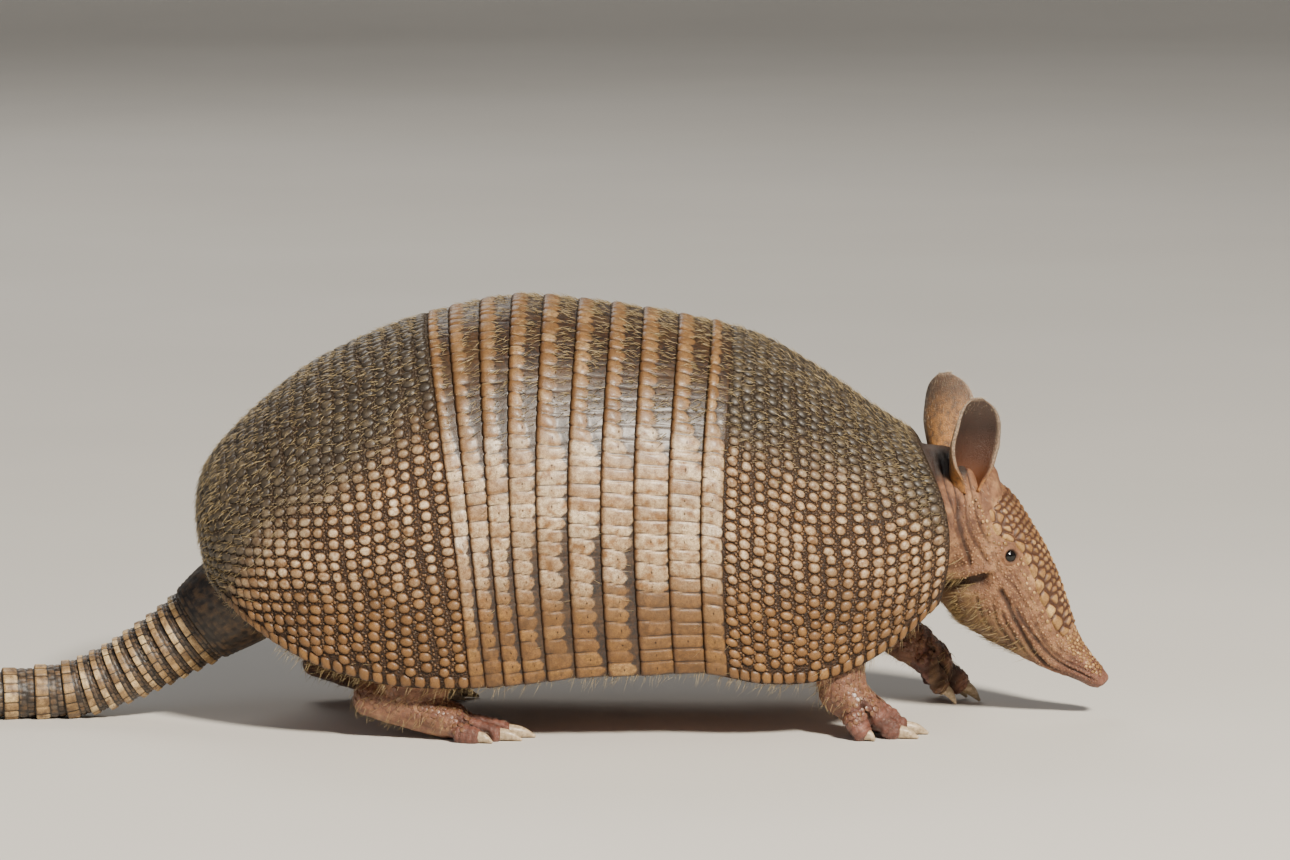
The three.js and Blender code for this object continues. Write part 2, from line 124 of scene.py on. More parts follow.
def paint_values(mesh, values):
    """Store one number per vertex under each name, for the materials to read."""
    for name, numbers in values.items():
        layer = mesh.attributes.new(name, "FLOAT", "POINT")
        layer.data.foreach_set("value", np.ascontiguousarray(numbers, np.float32).ravel())


def lay_uv(mesh, places):
    """A UV map named OFBake, from one place per vertex."""
    corners = np.empty(len(mesh.loops), np.int32)
    mesh.loops.foreach_get("vertex_index", corners)
    layer = mesh.uv_layers.new(name="OFBake")
    layer.data.foreach_set("uv", np.ascontiguousarray(places[corners], np.float32).ravel())


def count_triangles(name, mesh):
    mesh.calc_loop_triangles()
    print(f"{name}: {len(mesh.loop_triangles)} triangles")


def add_piece(mesh, name, material, replaces=()):
    """Put a finished mesh into the scene, on the animal's one body."""
    mesh.polygons.foreach_set("use_smooth", np.ones(len(mesh.polygons), bool))
    mesh.materials.clear()
    mesh.materials.append(material)
    piece = bpy.data.objects.new(name, mesh)
    bpy.context.scene.collection.objects.link(piece)
    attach(piece, "root")
    if replaces:
        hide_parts(*replaces)
    count_triangles(name, mesh)
    return piece


def mesh_of_copies(name, shape, copies):
    """One mesh of many copies of a shape, from the places of every copy's vertices."""
    points, corners, totals = arrays_of(shape)
    count = len(copies)
    all_corners = (corners[None, :] + len(points) * np.arange(count)[:, None]).ravel()
    all_totals = np.tile(totals, count)
    mesh = bpy.data.meshes.new(name)
    mesh.vertices.add(count * len(points))
    mesh.vertices.foreach_set("co", copies.ravel())
    mesh.loops.add(len(all_corners))
    mesh.loops.foreach_set("vertex_index", all_corners.astype(np.int32))
    mesh.polygons.add(len(all_totals))
    mesh.polygons.foreach_set("loop_start", (np.cumsum(all_totals) - all_totals).astype(np.int32))
    mesh.update(calc_edges=True)
    return mesh


def stamp(name, shape, places, axes):
    """One mesh that sets a shape down at every place, with its x, y and z along the given axes."""
    points = arrays_of(shape)[0]
    copies = np.einsum("kja,na->knj", axes, points) + places[:, None, :]
    return mesh_of_copies(name, shape, copies), points


def grid_mesh(columns, rows, place):
    """A grid of columns x rows faces whose corners go where place(u, v) says, u and v from 0 to 1."""
    bm = bmesh.new()
    bmesh.ops.create_grid(bm, x_segments=columns, y_segments=rows, size=0.5)
    flat = np.array([vert.co[:2] for vert in bm.verts]) + 0.5
    for vert, point in zip(bm.verts, place(flat[:, 0], flat[:, 1])):
        vert.co = point
    return bm, flat


def plate_mesh(columns, rows, outer, inner, name):
    """A closed plate between an outer and an inner grid, with their rims bridged."""
    bm, flat = grid_mesh(columns, rows, outer)
    skin, _ = grid_mesh(columns, rows, inner)
    bmesh.ops.reverse_faces(skin, faces=skin.faces)
    under = mesh_of(skin, "under")
    bm.from_mesh(under)
    bpy.data.meshes.remove(under)
    bmesh.ops.bridge_loops(bm, edges=[edge for edge in bm.edges if edge.is_boundary])
    return mesh_of(bm, name), np.vstack([flat, flat]), np.repeat([0, 1], len(flat))


def lay_plate_uv(mesh, flat, side):
    """A plate's outer grid on the left half of the UV square, its inner one on the right."""
    lay_uv(mesh, np.stack([side * 0.5 + flat[:, 0] * 0.49, flat[:, 1]], axis=-1))


# %% [markdown]
# ## The shell's surface
# An armadillo's shell is one smooth vault. Its midline, lower edge, width and bow are measured at
# fifteen stations from the rump to the shoulders, and each cross-section is a rounded box that curls
# in a little at the lower edge. Beads are spaced by true distance round the vault, so the script
# measures the arc at many stations and turns a share of the arc into a place on the section.

# %% The vault and its arc
BODY_X = 113.5
EDGE_ANGLE = math.radians(112)
SECTION_POWER = 2.3
SHELL = [
    [0, -145.5, 71.5, -143.5, 64.5, 20, 0],
    [14, -147, 86.5, -140, 56.5, 33, 0],
    [32, -143, 101.5, -131, 48.5, 46, 0],
    [56, -127, 120, -116, 38, 57, 0],
    [80, -105, 138, -95, 28.5, 65, 0],
    [104, -82, 150, -68, 22.5, 69.5, 0.5],
    [128, -56.6, 159.2, -39, 21.8, 71, 1.4],
    [150.6, -23.8, 165.9, -18.3, 23.3, 71.5, -2.8],
    [172.8, 2, 164.3, 1.6, 25.7, 71.5, -3.4],
    [197.8, 27.3, 160.8, 26.5, 26.5, 70.5, -3.4],
    [223.5, 53.8, 155.7, 51.1, 27, 69, -3.4],
    [247, 74, 149.5, 73, 23, 67, -2],
    [271, 96, 137, 97, 24, 62, 0],
    [295, 116, 123, 121, 34.5, 54, 4],
    [318, 133.5, 112, 141, 50.5, 45, 7],
]
SHELL_END = SHELL[-1][0]
BAND_EDGES = [128, 134, 142, 150.6, 160.7, 172.8, 185.3, 197.8, 211, 223.5]
PLATE = 3.0


def on_vault(at, turn):
    """Points on the vault in millimetres, from the distance along it and the turn round it, -1 to 1."""
    top_x, top_z, edge_x, edge_z, half_width, bow = np.moveaxis(between(SHELL, at), -1, 0)
    angle = np.abs(turn) * EDGE_ANGLE

    def box(value):
        return np.sign(value) * np.abs(value) ** (2 / SECTION_POWER)

    down = (1 - box(np.cos(angle))) / (1 - box(math.cos(EDGE_ANGLE)))
    x = top_x + (edge_x - top_x) * down + bow * np.sin(np.pi * down) + BODY_X
    y = np.sign(turn) * half_width * box(np.sin(angle))
    return np.stack([x, y, top_z + (edge_z - top_z) * down], axis=-1)


STATIONS = np.linspace(0, SHELL_END, 107)
TURNS = np.linspace(-1, 1, 401)
SHARES = np.linspace(-1, 1, 201)
SECTIONS = on_vault(np.repeat(STATIONS[:, None], len(TURNS), 1), np.tile(TURNS, (len(STATIONS), 1)))
STEPS = np.linalg.norm(np.diff(SECTIONS, axis=1), axis=-1)
ARCS = np.concatenate([np.zeros((len(STATIONS), 1)), np.cumsum(STEPS, axis=1)], axis=1)
HALF_ARC = ARCS[:, -1] / 2
TURN_AT = np.array([np.interp((SHARES + 1) * half, arc, TURNS) for half, arc in zip(HALF_ARC, ARCS)])


def half_arc(at):
    return np.interp(at, STATIONS, HALF_ARC)


def turn_of(at, share):
    """The turn round the vault at a share of its arc, -1 at the right edge and 1 at the left."""
    i = np.clip(np.asarray(at) / SHELL_END * (len(STATIONS) - 1), 0, len(STATIONS) - 1.001)
    j = np.clip((np.asarray(share) + 1) / 2 * (len(SHARES) - 1), 0, len(SHARES) - 1.001)
    a, b = i.astype(int), j.astype(int)
    p, q = i - a, j - b
    return ((TURN_AT[a, b] * (1 - q) + TURN_AT[a, b + 1] * q) * (1 - p)
            + (TURN_AT[a + 1, b] * (1 - q) + TURN_AT[a + 1, b + 1] * q) * p)


def vault_axes(at, share):
    """At each place: forward along the shell, leftward round it, and straight out of it."""
    turn = np.clip(turn_of(at, share), -0.98, 0.98)
    forward = unit(on_vault(at + 0.5, turn) - on_vault(at - 0.5, turn))
    round_it = unit(on_vault(at, turn + 0.01) - on_vault(at, turn - 0.01))
    return forward, round_it, unit(np.cross(forward, round_it))


def vault(at, share, out=0.0):
    """Points in metres on the vault, or off it by a distance in millimetres."""
    at, share = np.broadcast_arrays(np.asarray(at, float), np.asarray(share, float))
    out = np.broadcast_to(np.asarray(out, float), at.shape)[..., None]
    return (on_vault(at, turn_of(at, share)) + vault_axes(at, share)[2] * out) * MM


print("arc from edge to edge over the bands, mm:", round(2 * float(half_arc(170)), 1))

# %% [markdown]
# ## Materials: shared helpers
# Every finish is built from nodes, so nothing depends on a picture. Most of them mix two or three
# colours by values that were stored on the mesh, such as how high a vertex stands on its bead, and
# then break them up with noise. Object coordinates keep all patterns at their true size, in metres.

# %% Node helpers
def linear(code):
    """A colour code such as c8a070, or a grey value, as the linear values that shaders use."""
    if not isinstance(code, str):
        return [code, code, code, 1]
    parts = [int(code[i:i + 2], 16) / 255 for i in (0, 2, 4)]
    return [p / 12.92 if p <= 0.04045 else ((p + 0.055) / 1.055) ** 2.4 for p in parts] + [1]


def plug(tree, owner, inputs):
    """Give a node's inputs other nodes' sockets, numbers or colour codes."""
    for key, value in inputs.items():
        if isinstance(value, bpy.types.NodeSocket):
            tree.links.new(value, owner.inputs[key])
        else:
            owner.inputs[key].default_value = linear(value) if isinstance(value, str) else value


def node(tree, kind, inputs=None, **settings):
    made = tree.nodes.new("ShaderNode" + kind)
    for key, value in settings.items():
        setattr(made, key, value)
    plug(tree, made, inputs or {})
    return made


def reckon(tree, operation, a, b=0.0):
    return node(tree, "Math", {0: a, 1: b}, operation=operation).outputs[0]


def times(tree, a, b):
    return reckon(tree, "MULTIPLY", a, b)


def nudged(tree, value, cloud, amount):
    """A value shifted up and down by a cloud of noise."""
    return reckon(tree, "ADD", value, times(tree, reckon(tree, "SUBTRACT", cloud, 0.5), amount))


def blend(tree, factor, a, b):
    return node(tree, "Mix", {0: factor, 6: a, 7: b}, data_type="RGBA").outputs[2]


def ramp(tree, factor, *stops):
    """Soft steps between stops of (place, colour code or grey value)."""
    made = node(tree, "ValToRGB", {0: factor})
    points = made.color_ramp.elements
    while len(points) < len(stops):
        points.new(1.0)
    for point, (place, value) in zip(points, stops):
        point.position = place
        point.color = linear(value)
    return made.outputs[0]


def stored(tree, *names):
    """The value that the mesh stores under a name, or one value for each of several names."""
    found = [node(tree, "Attribute", attribute_name=name).outputs["Fac"] for name in names]
    return found if len(names) > 1 else found[0]


def body_place(tree):
    return node(tree, "TexCoord").outputs["Object"]


def speckle(tree, size_mm, detail=3.0, roughness=0.55, place=None):
    """Cloudy noise from 0 to 1 whose spots are about the given size."""
    inputs = {"Vector": place or body_place(tree), "Scale": 1000 / size_mm, "Detail": detail,
              "Roughness": roughness}
    return node(tree, "TexNoise", inputs).outputs[0]


def cracks(tree, size_mm):
    """The distance to the nearest border between scales of about the given size."""
    inputs = {"Vector": body_place(tree), "Scale": 1000 / size_mm}
    return node(tree, "TexVoronoi", inputs, feature="DISTANCE_TO_EDGE").outputs[0]


def bumps(tree, height, depth_mm):
    return node(tree, "Bump", {"Height": height, "Strength": 1.0, "Distance": depth_mm * MM}).outputs[0]


def new_material(name):
    material = bpy.data.materials.new(name)
    material.use_nodes = True
    return material, material.node_tree, material.node_tree.nodes["Principled BSDF"]


def finish_material(tree, shader, color, roughness, normal=None, **plain):
    plug(tree, shader, {"Base Color": color, "Roughness": roughness})
    if normal:
        plug(tree, shader, {"Normal": normal})
    plug(tree, shader, {key.replace("_", " "): value for key, value in plain.items()})


# %% [markdown]
# Horn and bone share one look: mottled colour, painted shade (partly dirt) darkening the low places,
# and fine scratches. It is a node group, so the beads, bands, head plates and tail plates can each
# give it their own colours and sizes.

# %% The worn and shaded horn group
def worn_and_shaded_horn_group():
    tree = bpy.data.node_groups.new("worn_and_shaded_horn", "ShaderNodeTree")
    for direction, kind, names in (("INPUT", "Color", ("Low", "High", "Stain")),
                                   ("INPUT", "Float", ("Rise", "Tone", "Spots")),
                                   ("OUTPUT", "Color", ("Color",)), ("OUTPUT", "Float", ("Height",))):
        for name in names:
            tree.interface.new_socket(name, in_out=direction, socket_type="NodeSocket" + kind)
    given = tree.nodes.new("NodeGroupInput").outputs
    result = tree.nodes.new("NodeGroupOutput")
    place = body_place(tree)
    cloud_inputs = {"Vector": place, "Scale": given["Spots"], "Detail": 4.0}
    cloud = node(tree, "TexNoise", cloud_inputs).outputs[0]
    fine = speckle(tree, 0.35, 2.0, place=place)
    ragged = nudged(tree, given["Rise"], cloud, 0.6)
    stained = ramp(tree, cloud, (0.42, 0.0), (0.68, 1.0))
    body = blend(tree, stained, given["High"], given["Stain"])
    value = reckon(tree, "ADD", times(tree, given["Tone"], 0.45), 0.78)
    lit = node(tree, "HueSaturation", {"Color": body, "Value": value}).outputs[0]
    # Low colour fills the low places of each bead or plate: painted shade, partly dirt.
    color = blend(tree, ramp(tree, ragged, (0.15, 0.0), (0.6, 1.0)), given["Low"], lit)
    dirt = ramp(tree, fine, (0.3, 0.55), (0.55, 0.0))
    grain = reckon(tree, "ADD", fine, times(tree, cloud, 0.8))
    plug(tree, result, {"Color": blend(tree, dirt, color, "2c231b"), "Height": grain})
    return tree


WORN_AND_SHADED_HORN = worn_and_shaded_horn_group()


def worn_and_shaded_horn(tree, low, high, stain, rise, tone, spots_mm):
    """The group placed in a material: its colour, and its grain for bumps and roughness."""
    made = node(tree, "Group", node_tree=WORN_AND_SHADED_HORN)
    plug(tree, made, {"Low": low, "High": high, "Stain": stain, "Rise": rise, "Tone": tone,
                      "Spots": 1000 / spots_mm})
    return made.outputs["Color"], made.outputs["Height"]


# %% [markdown]
# The shields carry cream to tan beads on the flank. Towards the back the same beads are dark
# grey-brown, so a stored value called "back" (0 on the flank, 1 on the back) mixes the two. The
# ground between the beads is a net of tiny dark scales with paler borders.

# %% Bead, ground and band materials
def mottled(tree, color, dark, strength, size_mm=0.9):
    """Small irregular specks of a darker colour, as on horn that has been scratched and soiled."""
    specks = ramp(tree, speckle(tree, size_mm, 5.0, 0.7), (0.44, 0.0), (0.62, 1.0))
    return blend(tree, times(tree, specks, strength), color, dark)


def horn_colour(tree, tone, warm):
    """Cream mid-flank, partly a painted highlight; orange tan below and on the back; each a little
    different.
    """
    # The cream colours go where the key light's highlight falls on the flank: partly a painted highlight.
    cream = ramp(tree, tone, (0.0, "b8946c"), (0.4, "cfb189"), (0.8, "e2cba7"), (1.0, "eddcc2"))
    tan = ramp(tree, tone, (0.0, "61401a"), (0.4, "7a5324"), (0.8, "936a33"), (1.0, "ab8550"))
    return blend(tree, warm, cream, tan)


def bead_material():
    material, tree, shader = new_material("bead_horn")
    rise, tone, back, warm = stored(tree, "rise", "tone", "back", "warm")
    # Darker slopes and a paler top on each bead: painted shading of the dome, over its own colours.
    slope = blend(tree, back, blend(tree, warm, "86654a", "6b4722"), "33291d")
    dark = ramp(tree, tone, (0.2, "3a3126"), (0.8, "665843"))
    top = blend(tree, back, horn_colour(tree, tone, warm), dark)
    high = blend(tree, ramp(tree, rise, (0.42, 0.0), (0.92, 1.0)), slope, top)
    stain = blend(tree, back, "835c34", "2f261c")
    color, grain = worn_and_shaded_horn(tree, "21150d", high, stain, rise, tone, 2.2)
    color = mottled(tree, color, blend(tree, back, "6b4826", "1c1712"), 0.4)
    soil = ramp(tree, speckle(tree, 17.0, 3.0), (0.44, 0.0), (0.68, 0.42))
    color = blend(tree, soil, color, blend(tree, back, "5f4427", "241d16"))
    rough = ramp(tree, grain, (0.4, 0.3), (1.2, 0.52))
    finish_material(tree, shader, color, rough, bumps(tree, grain, 0.12),
                    Coat_Weight=0.12, Coat_Roughness=0.25)
    return material


def ground_material():
    material, tree, shader = new_material("shell_ground")
    back = stored(tree, "back")
    net = cracks(tree, 1.3)
    border = ramp(tree, net, (0.02, 1.0), (0.11, 0.0))
    cloud = speckle(tree, 6.0)
    # The ground in the gaps between beads is nearly black: painted shade of the narrow gaps, partly the
    # darker skin there.
    dark = blend(tree, cloud, "1a120c", "332114")
    pale = blend(tree, back, "5a3d24", "564832")
    color = blend(tree, times(tree, border, 0.6), dark, pale)
    height = reckon(tree, "MINIMUM", net, 0.25)
    finish_material(tree, shader, color, 0.6, bumps(tree, height, 0.9), Specular_IOR_Level=0.35)
    return material


def band_material():
    material, tree, shader = new_material("band_horn")
    rise, tone, front, warm = stored(tree, "rise", "tone", "front", "warm")
    middle, groove = stored(tree, "middle", "groove")
    cloud = speckle(tree, 1.5, 5.0, 0.7)
    # pale is the pale rear part, widened mid-flank partly as a painted highlight.
    pale_part = ramp(tree, nudged(tree, stored(tree, "pale"), cloud, 1.5), (0.25, 0.0), (0.75, 1.0))
    slate = ramp(tree, speckle(tree, 0.8, 5.0, 0.7), (0.35, "0a0a0b"), (0.55, "1c1b1c"), (0.7, "474441"))
    high = blend(tree, pale_part, slate, horn_colour(tree, tone, warm))
    stain = blend(tree, pale_part, "211b17", "8e6436")
    even = reckon(tree, "ADD", times(tree, tone, 0.5), 0.25)
    color, grain = worn_and_shaded_horn(tree, "2a1a10", high, stain, rise, even, 3.2)
    color = mottled(tree, color, "5c3b1f", 0.5, 1.1)
    color = mottled(tree, color, "2b1c12", times(tree, warm, 0.4), 2.4)
    soil = ramp(tree, speckle(tree, 14.0, 3.0), (0.44, 0.0), (0.66, 0.4))
    color = blend(tree, soil, color, "5f4427")
    # A dark brown line along each band's free rear edge: painted shadow of the gap under the edge.
    rim = ramp(tree, front, (0.0, 1.0), (0.12, 0.0))
    color = blend(tree, times(tree, rim, 0.7), color, "4f3218")
    # The front end that slides under the next band is painted nearly black: painted shade of the band above.
    under = ramp(tree, front, (0.91, 0.0), (0.985, 1.0))
    color = blend(tree, times(tree, under, 0.9), color, "180f09")
    # Darker in the grooves between plates: painted shade, partly the dark seams.
    color = blend(tree, ramp(tree, groove, (0.35, 0.0), (0.95, 0.85)), color, "2a190d")
    off_middle = reckon(tree, "ABSOLUTE", reckon(tree, "SUBTRACT", front, 0.45))
    pit = ramp(tree, reckon(tree, "ADD", middle, times(tree, off_middle, 6.0)),
               (0.12, 1.0), (0.26, 0.0))
    pit = times(tree, pit, ramp(tree, tone, (0.42, 0.0), (0.46, 0.9)))
    color = blend(tree, pit, color, "2a1a12")
    rough = ramp(tree, grain, (0.4, 0.24), (1.2, 0.46))
    height = reckon(tree, "SUBTRACT", grain, times(tree, pit, 2.0))
    finish_material(tree, shader, color, rough, bumps(tree, height, 0.12),
                    Coat_Weight=0.12, Coat_Roughness=0.22)
    return material


def small_scale_material():
    material, tree, shader = new_material("small_scale_horn")
    rise, tone, back = stored(tree, "rise", "tone", "back")
    flank = ramp(tree, tone, (0.0, "453020"), (0.6, "6e4e2f"), (1.0, "91693f"))
    high = blend(tree, back, flank, "443a2b")
    color, grain = worn_and_shaded_horn(tree, "2b211a", high, "4a3a2b", rise, tone, 1.5)
    finish_material(tree, shader, color, 0.5, bumps(tree, grain, 0.08), Specular_IOR_Level=0.4)
    return material


BEAD = bead_material()
GROUND = ground_material()
BAND = band_material()
SMALL_SCALE = small_scale_material()

# %% [markdown]
# ## The two shields
# Each shield is a bony plate covered with rows of rounded beads, staggered like bricks, with tiny
# scales in the gaps. The plate is two curved grids joined at the rim. The beads could be bumps in a
# material, but they make the outline and catch the light, so each is a real dome.

# %% Where the beads go
def staggered(first, last, rows, step, edge_room):
    """Places in staggered rows: distance along, share of the arc, and the room along and across."""
    found = []
    pitch = (last - first) / rows
    for row in range(rows):
        at = first + (row + 0.5) * pitch
        half = float(half_arc(at))
        usable = 1 - edge_room / half
        count = max(4, int(round(2 * half * usable / step)))
        shares = ((np.arange(count) + 0.25 + 0.5 * (row % 2)) / count * 2 - 1) * usable
        room = 2 * half * usable / count
        found += [(at, share, pitch, room) for share in shares]
    return np.array(found)


# Height in millimetres at which the dark, hairy back begins, for distances along the shell.
BACK_BEGINS = [[0, 34], [20, 44], [60, 78], [100, 106], [128, 124], [150, 122], [223, 121], [240, 112],
               [275, 102], [300, 92], [318, 80]]


def back_of(at, share):
    """How much of the dark, hairy look of the back a place has, from 0 on the flank to 1."""
    place = vault(at, share) / MM
    begins = between(BACK_BEGINS, at)[..., 0] + 5 * wobble(place, 22, 3) + 3 * wobble(place, 7, 4)
    return smooth(-16, 15, place[..., 2] - begins)


def warm_of(place):
    """How orange the horn is: orange below and on the back, cream mid-flank, partly a painted highlight."""
    z = place[..., 2] + 5 * wobble(place, 14, 6)
    # The cream band between about 76 and 108 mm high is partly a painted highlight of the key light.
    return np.clip(1 - smooth(46, 76, z) + 0.85 * smooth(108, 128, z), 0, 1)


BEAD_ROWS = {"pelvic": (1.0, 127.6, 24), "scapular": (232.5, 316.5, 16)}
BEAD_STEP = 4.15
BORDER_ROOM = 5.6  # the lowest part of a shield, kept for a row of square plates
BORDER_STEP, BORDER_MIDDLE = 4.4, 2.7
rng = np.random.default_rng(7)


def half_ball(sides, rings, floor, name):
    """A closed dome: the part of a ball above a floor, with a flat underside."""
    bm = bmesh.new()
    bmesh.ops.create_uvsphere(bm, u_segments=sides, v_segments=rings, radius=1.0)
    everything = bm.verts[:] + bm.edges[:] + bm.faces[:]
    cut = bmesh.ops.bisect_plane(bm, geom=everything, plane_co=(0, 0, floor), plane_no=(0, 0, -1),
                                 clear_outer=True)
    edges = [part for part in cut["geom_cut"] if isinstance(part, bmesh.types.BMEdge)]
    bmesh.ops.contextual_create(bm, geom=edges)
    bmesh.ops.recalc_face_normals(bm, faces=bm.faces)
    return mesh_of(bm, name)


BEAD_SHAPE = half_ball(10, 8, -0.12, "bead_shape")
SCALE_SHAPE = half_ball(6, 4, -0.1, "scale_shape")
SQUARE_SHAPE = half_ball(16, 8, -0.12, "square_shape")
for vert in SQUARE_SHAPE.vertices:  # push the round rim out towards a square
    x, y, z = vert.co
    grow = (abs(x) ** 4 + abs(y) ** 4) ** -0.25 * math.hypot(x, y) if math.hypot(x, y) > 0.01 else 1
    vert.co = (x * grow, y * grow, z)


def laid_flat(shape_points, level):
    """A dome's points on the UV map, with its slopes spread round its top."""
    return shape_points[:, :2] * (1.15 - 0.25 * level[:, None])


def bead_layer(name, shape, places, sizes, sunk, node_range):
    """Domes on the vault with their colours' values and a flat UV map."""
    at, share = places[:, 0], places[:, 1]
    axes = np.stack(vault_axes(at, share), axis=-1) * sizes[:, None, :]
    mesh, shape_points = stamp(name, shape, vault(at, share, -sunk), axes * MM)
    count, per = len(places), len(shape_points)
    level = np.clip(shape_points[:, 2], 0, 1)
    # no bead is quite round: each rim swells and shrinks three, four and five times in its own way
    angle = np.arctan2(shape_points[:, 1], shape_points[:, 0])
    swell = sum(rng.uniform(0, 0.055, (count, 1)) * np.cos(k * angle + rng.uniform(0, 6.28, (count, 1)))
                for k in (3, 4, 5))
    flat_part = np.einsum("kja,na->knj", axes[:, :, :2] * MM, shape_points[:, :2])
    points = arrays_of(mesh)[0].reshape(count, per, 3) + flat_part * swell[:, :, None]
    mesh.vertices.foreach_set("co", points.ravel())
    paint_values(mesh, {"rise": np.tile(level, count),
                        "tone": np.repeat(np.clip(rng.normal(0.5, 0.16, count), 0, 1), per),
                        "back": np.repeat(back_of(at, share), per),
                        "warm": np.repeat(warm_of(vault(at, share) / MM), per)})
    low, high = node_range
    flat = laid_flat(shape_points, level)
    u = (np.repeat(at, per) + np.tile(flat[:, 0], count) * np.repeat(sizes[:, 0], per) - low) / (high - low)
    reach = np.repeat(sizes[:, 1] / half_arc(at), per)
    v = (np.repeat(share, per) + np.tile(flat[:, 1], count) * reach + 1) / 2
    lay_uv(mesh, np.clip(np.stack([u, v], axis=-1), 0.001, 0.999))
    return mesh


def shield(name, first, last, columns, rows, replaces):
    """The plate under the beads."""
    def outer(u, v):
        edge = 1 - smooth(0, 0.012, v) * smooth(0, 0.012, 1 - v)
        return vault(first + u * (last - first), 2 * v - 1, -0.45 - 0.3 * edge)

    def inner(u, v):
        return vault(first + u * (last - first), 2 * v - 1, -PLATE + 0.1)

    mesh, flat, side = plate_mesh(columns, rows, outer, inner, name)
    at, share = first + flat[:, 0] * (last - first), 2 * flat[:, 1] - 1
    paint_values(mesh, {"back": back_of(at, share)})
    lay_plate_uv(mesh, flat, side)
    return add_piece(mesh, name, GROUND, replaces)


for part, (first, last, rows) in BEAD_ROWS.items():
    ends = (0.0, 127.65) if part == "pelvic" else (223.5, SHELL_END)
    shield(f"{part}_plate", ends[0], ends[1], 60, 150, [f"{part}_shield"])
    places = staggered(first, last, rows, BEAD_STEP, BORDER_ROOM)
    spread = rng.normal(0, 1, (len(places), 4))
    # the rows drift a little, as grown ones do, but not where they meet the border
    room = smooth(0, 16, places[:, 0] - first) * smooth(0, 16, last - places[:, 0])
    room = room * smooth(0, 0.1, 1 - np.abs(places[:, 1]))
    ground = vault(places[:, 0], places[:, 1]) / MM
    places[:, 0] += room * 1.5 * wobble(ground, 21, 61) + spread[:, 0] * 0.26
    places[:, 1] += (room * 1.3 * wobble(ground, 19, 62) + spread[:, 1] * 0.2) / half_arc(places[:, 0])
    sizes = np.stack([
        np.clip(places[:, 2] * 0.465 * (1 + spread[:, 2] * 0.085), 1.2, 2.75),
        np.clip(places[:, 3] * 0.49 * (1 + spread[:, 3] * 0.085), 1.2, 2.2),
        1.3 - 0.35 * back_of(places[:, 0], places[:, 1])], axis=-1)
    mesh = bead_layer(f"{part}_beads", BEAD_SHAPE, places, sizes, 0.5, ends)
    add_piece(mesh, f"{part}_beads", BEAD)
    gaps = []
    for sx, sy in ((0.5, 0.25), (0.5, -0.25), (0.34, 0.5), (-0.34, 0.5)):
        gap = places.copy()
        gap[:, 0] += sx * gap[:, 2]
        gap[:, 1] += sy * gap[:, 3] / half_arc(gap[:, 0])
        gaps.append(gap)
    gaps = np.vstack(gaps)
    gaps = gaps[(gaps[:, 0] < ends[1] - 0.5) & (np.abs(gaps[:, 1]) < 0.985)]
    gaps[:, 0] += rng.normal(0, 0.2, len(gaps))
    small = np.stack([rng.uniform(0.5, 0.85, len(gaps)), rng.uniform(0.5, 0.8, len(gaps)),
                      rng.uniform(0.3, 0.45, len(gaps))], axis=-1)
    mesh = bead_layer(f"{part}_small_scales", SCALE_SHAPE, gaps, small, 0.45, ends)
    add_piece(mesh, f"{part}_small_scales", SMALL_SCALE)
    count = int((last - first) / BORDER_STEP)
    along = first + (np.arange(count) + 0.5) * (last - first) / count
    square = np.array([(at, side * (1 - BORDER_MIDDLE / float(half_arc(at))))
                       for at in along for side in (-1, 1)])
    room = 0.47 * (last - first) / count
    size = np.stack([room * rng.uniform(0.95, 1.03, len(square)), rng.uniform(2.2, 2.6, len(square)),
                     np.full(len(square), 1.1)], axis=-1)
    mesh = bead_layer(f"{part}_border_plates", SQUARE_SHAPE, square, size, 0.5, ends)
    add_piece(mesh, f"{part}_border_plates", BEAD)

# %% [markdown]
# ## The bands
# Nine narrow bands slide over one another like the leaves of a blind. Each is a row of long plates:
# the free rear part is pale, bulging horn, and the front part, which slips under the next band, is
# dark, flat and hairy. A band could be sixty separate plates, but the real ones are fused, so each
# band is one closed strip whose surface is pushed in and out by a table of plates.

# %% Plates round a band
PLATE_WIDTH = 5.45
BAND_LIP = 0.5  # how far a band's free edge hangs over the one behind it
ROWS_PER_PLATE = 8


def plate_count(at):
    return int(round(2 * float(half_arc(at)) / PLATE_WIDTH))


def plate_rows(at, seed):
    """For every share of the arc: how near its plate's border (0 middle, 1 border), and its tone."""
    maker = np.random.default_rng(seed)
    count = plate_count(at)
    borders = np.linspace(-1, 1, count + 1)
    borders[1:-1] += np.clip(maker.normal(0, 0.1, count - 1), -0.2, 0.2) * 2 / count
    tones = np.clip(maker.normal(0.5, 0.25, count), 0, 1)

    def look_up(share):
        which = np.clip(np.searchsorted(borders, share, side="right") - 1, 0, count - 1)
        low, high = borders[which], borders[which + 1]
        middle = np.abs((share - low) / (high - low) * 2 - 1)
        return middle, tones[which]

    return look_up


def pale_share(number, place):
    """How much of a band's width, from its rear edge, is pale at points in millimetres."""
    z = place[..., 2]
    lowest = 1 - smooth(30, 40, z + 3 * wobble(place, 9, 7))
    low = 1 - smooth(70, 90, z + 4 * wobble(place, 12, 8))
    top = smooth(102, 130, z + 3 * wobble(place, 12, 9))
    # Mid-flank, and on the bands nearest the shoulder, the pale part reaches nearly to the front: partly the
    # horn's own colour, partly a painted highlight of the light reflected there.
    near_shoulder = number >= 8
    middle = (0.97 if near_shoulder else 0.8 + 0.015 * number) + 0.06 * wobble(place, 22, 10)
    lower = (0.9 if near_shoulder else 0.64) + 0.18 * lowest
    return middle * (1 - low) * (1 - top) + lower * low + 0.38 * top


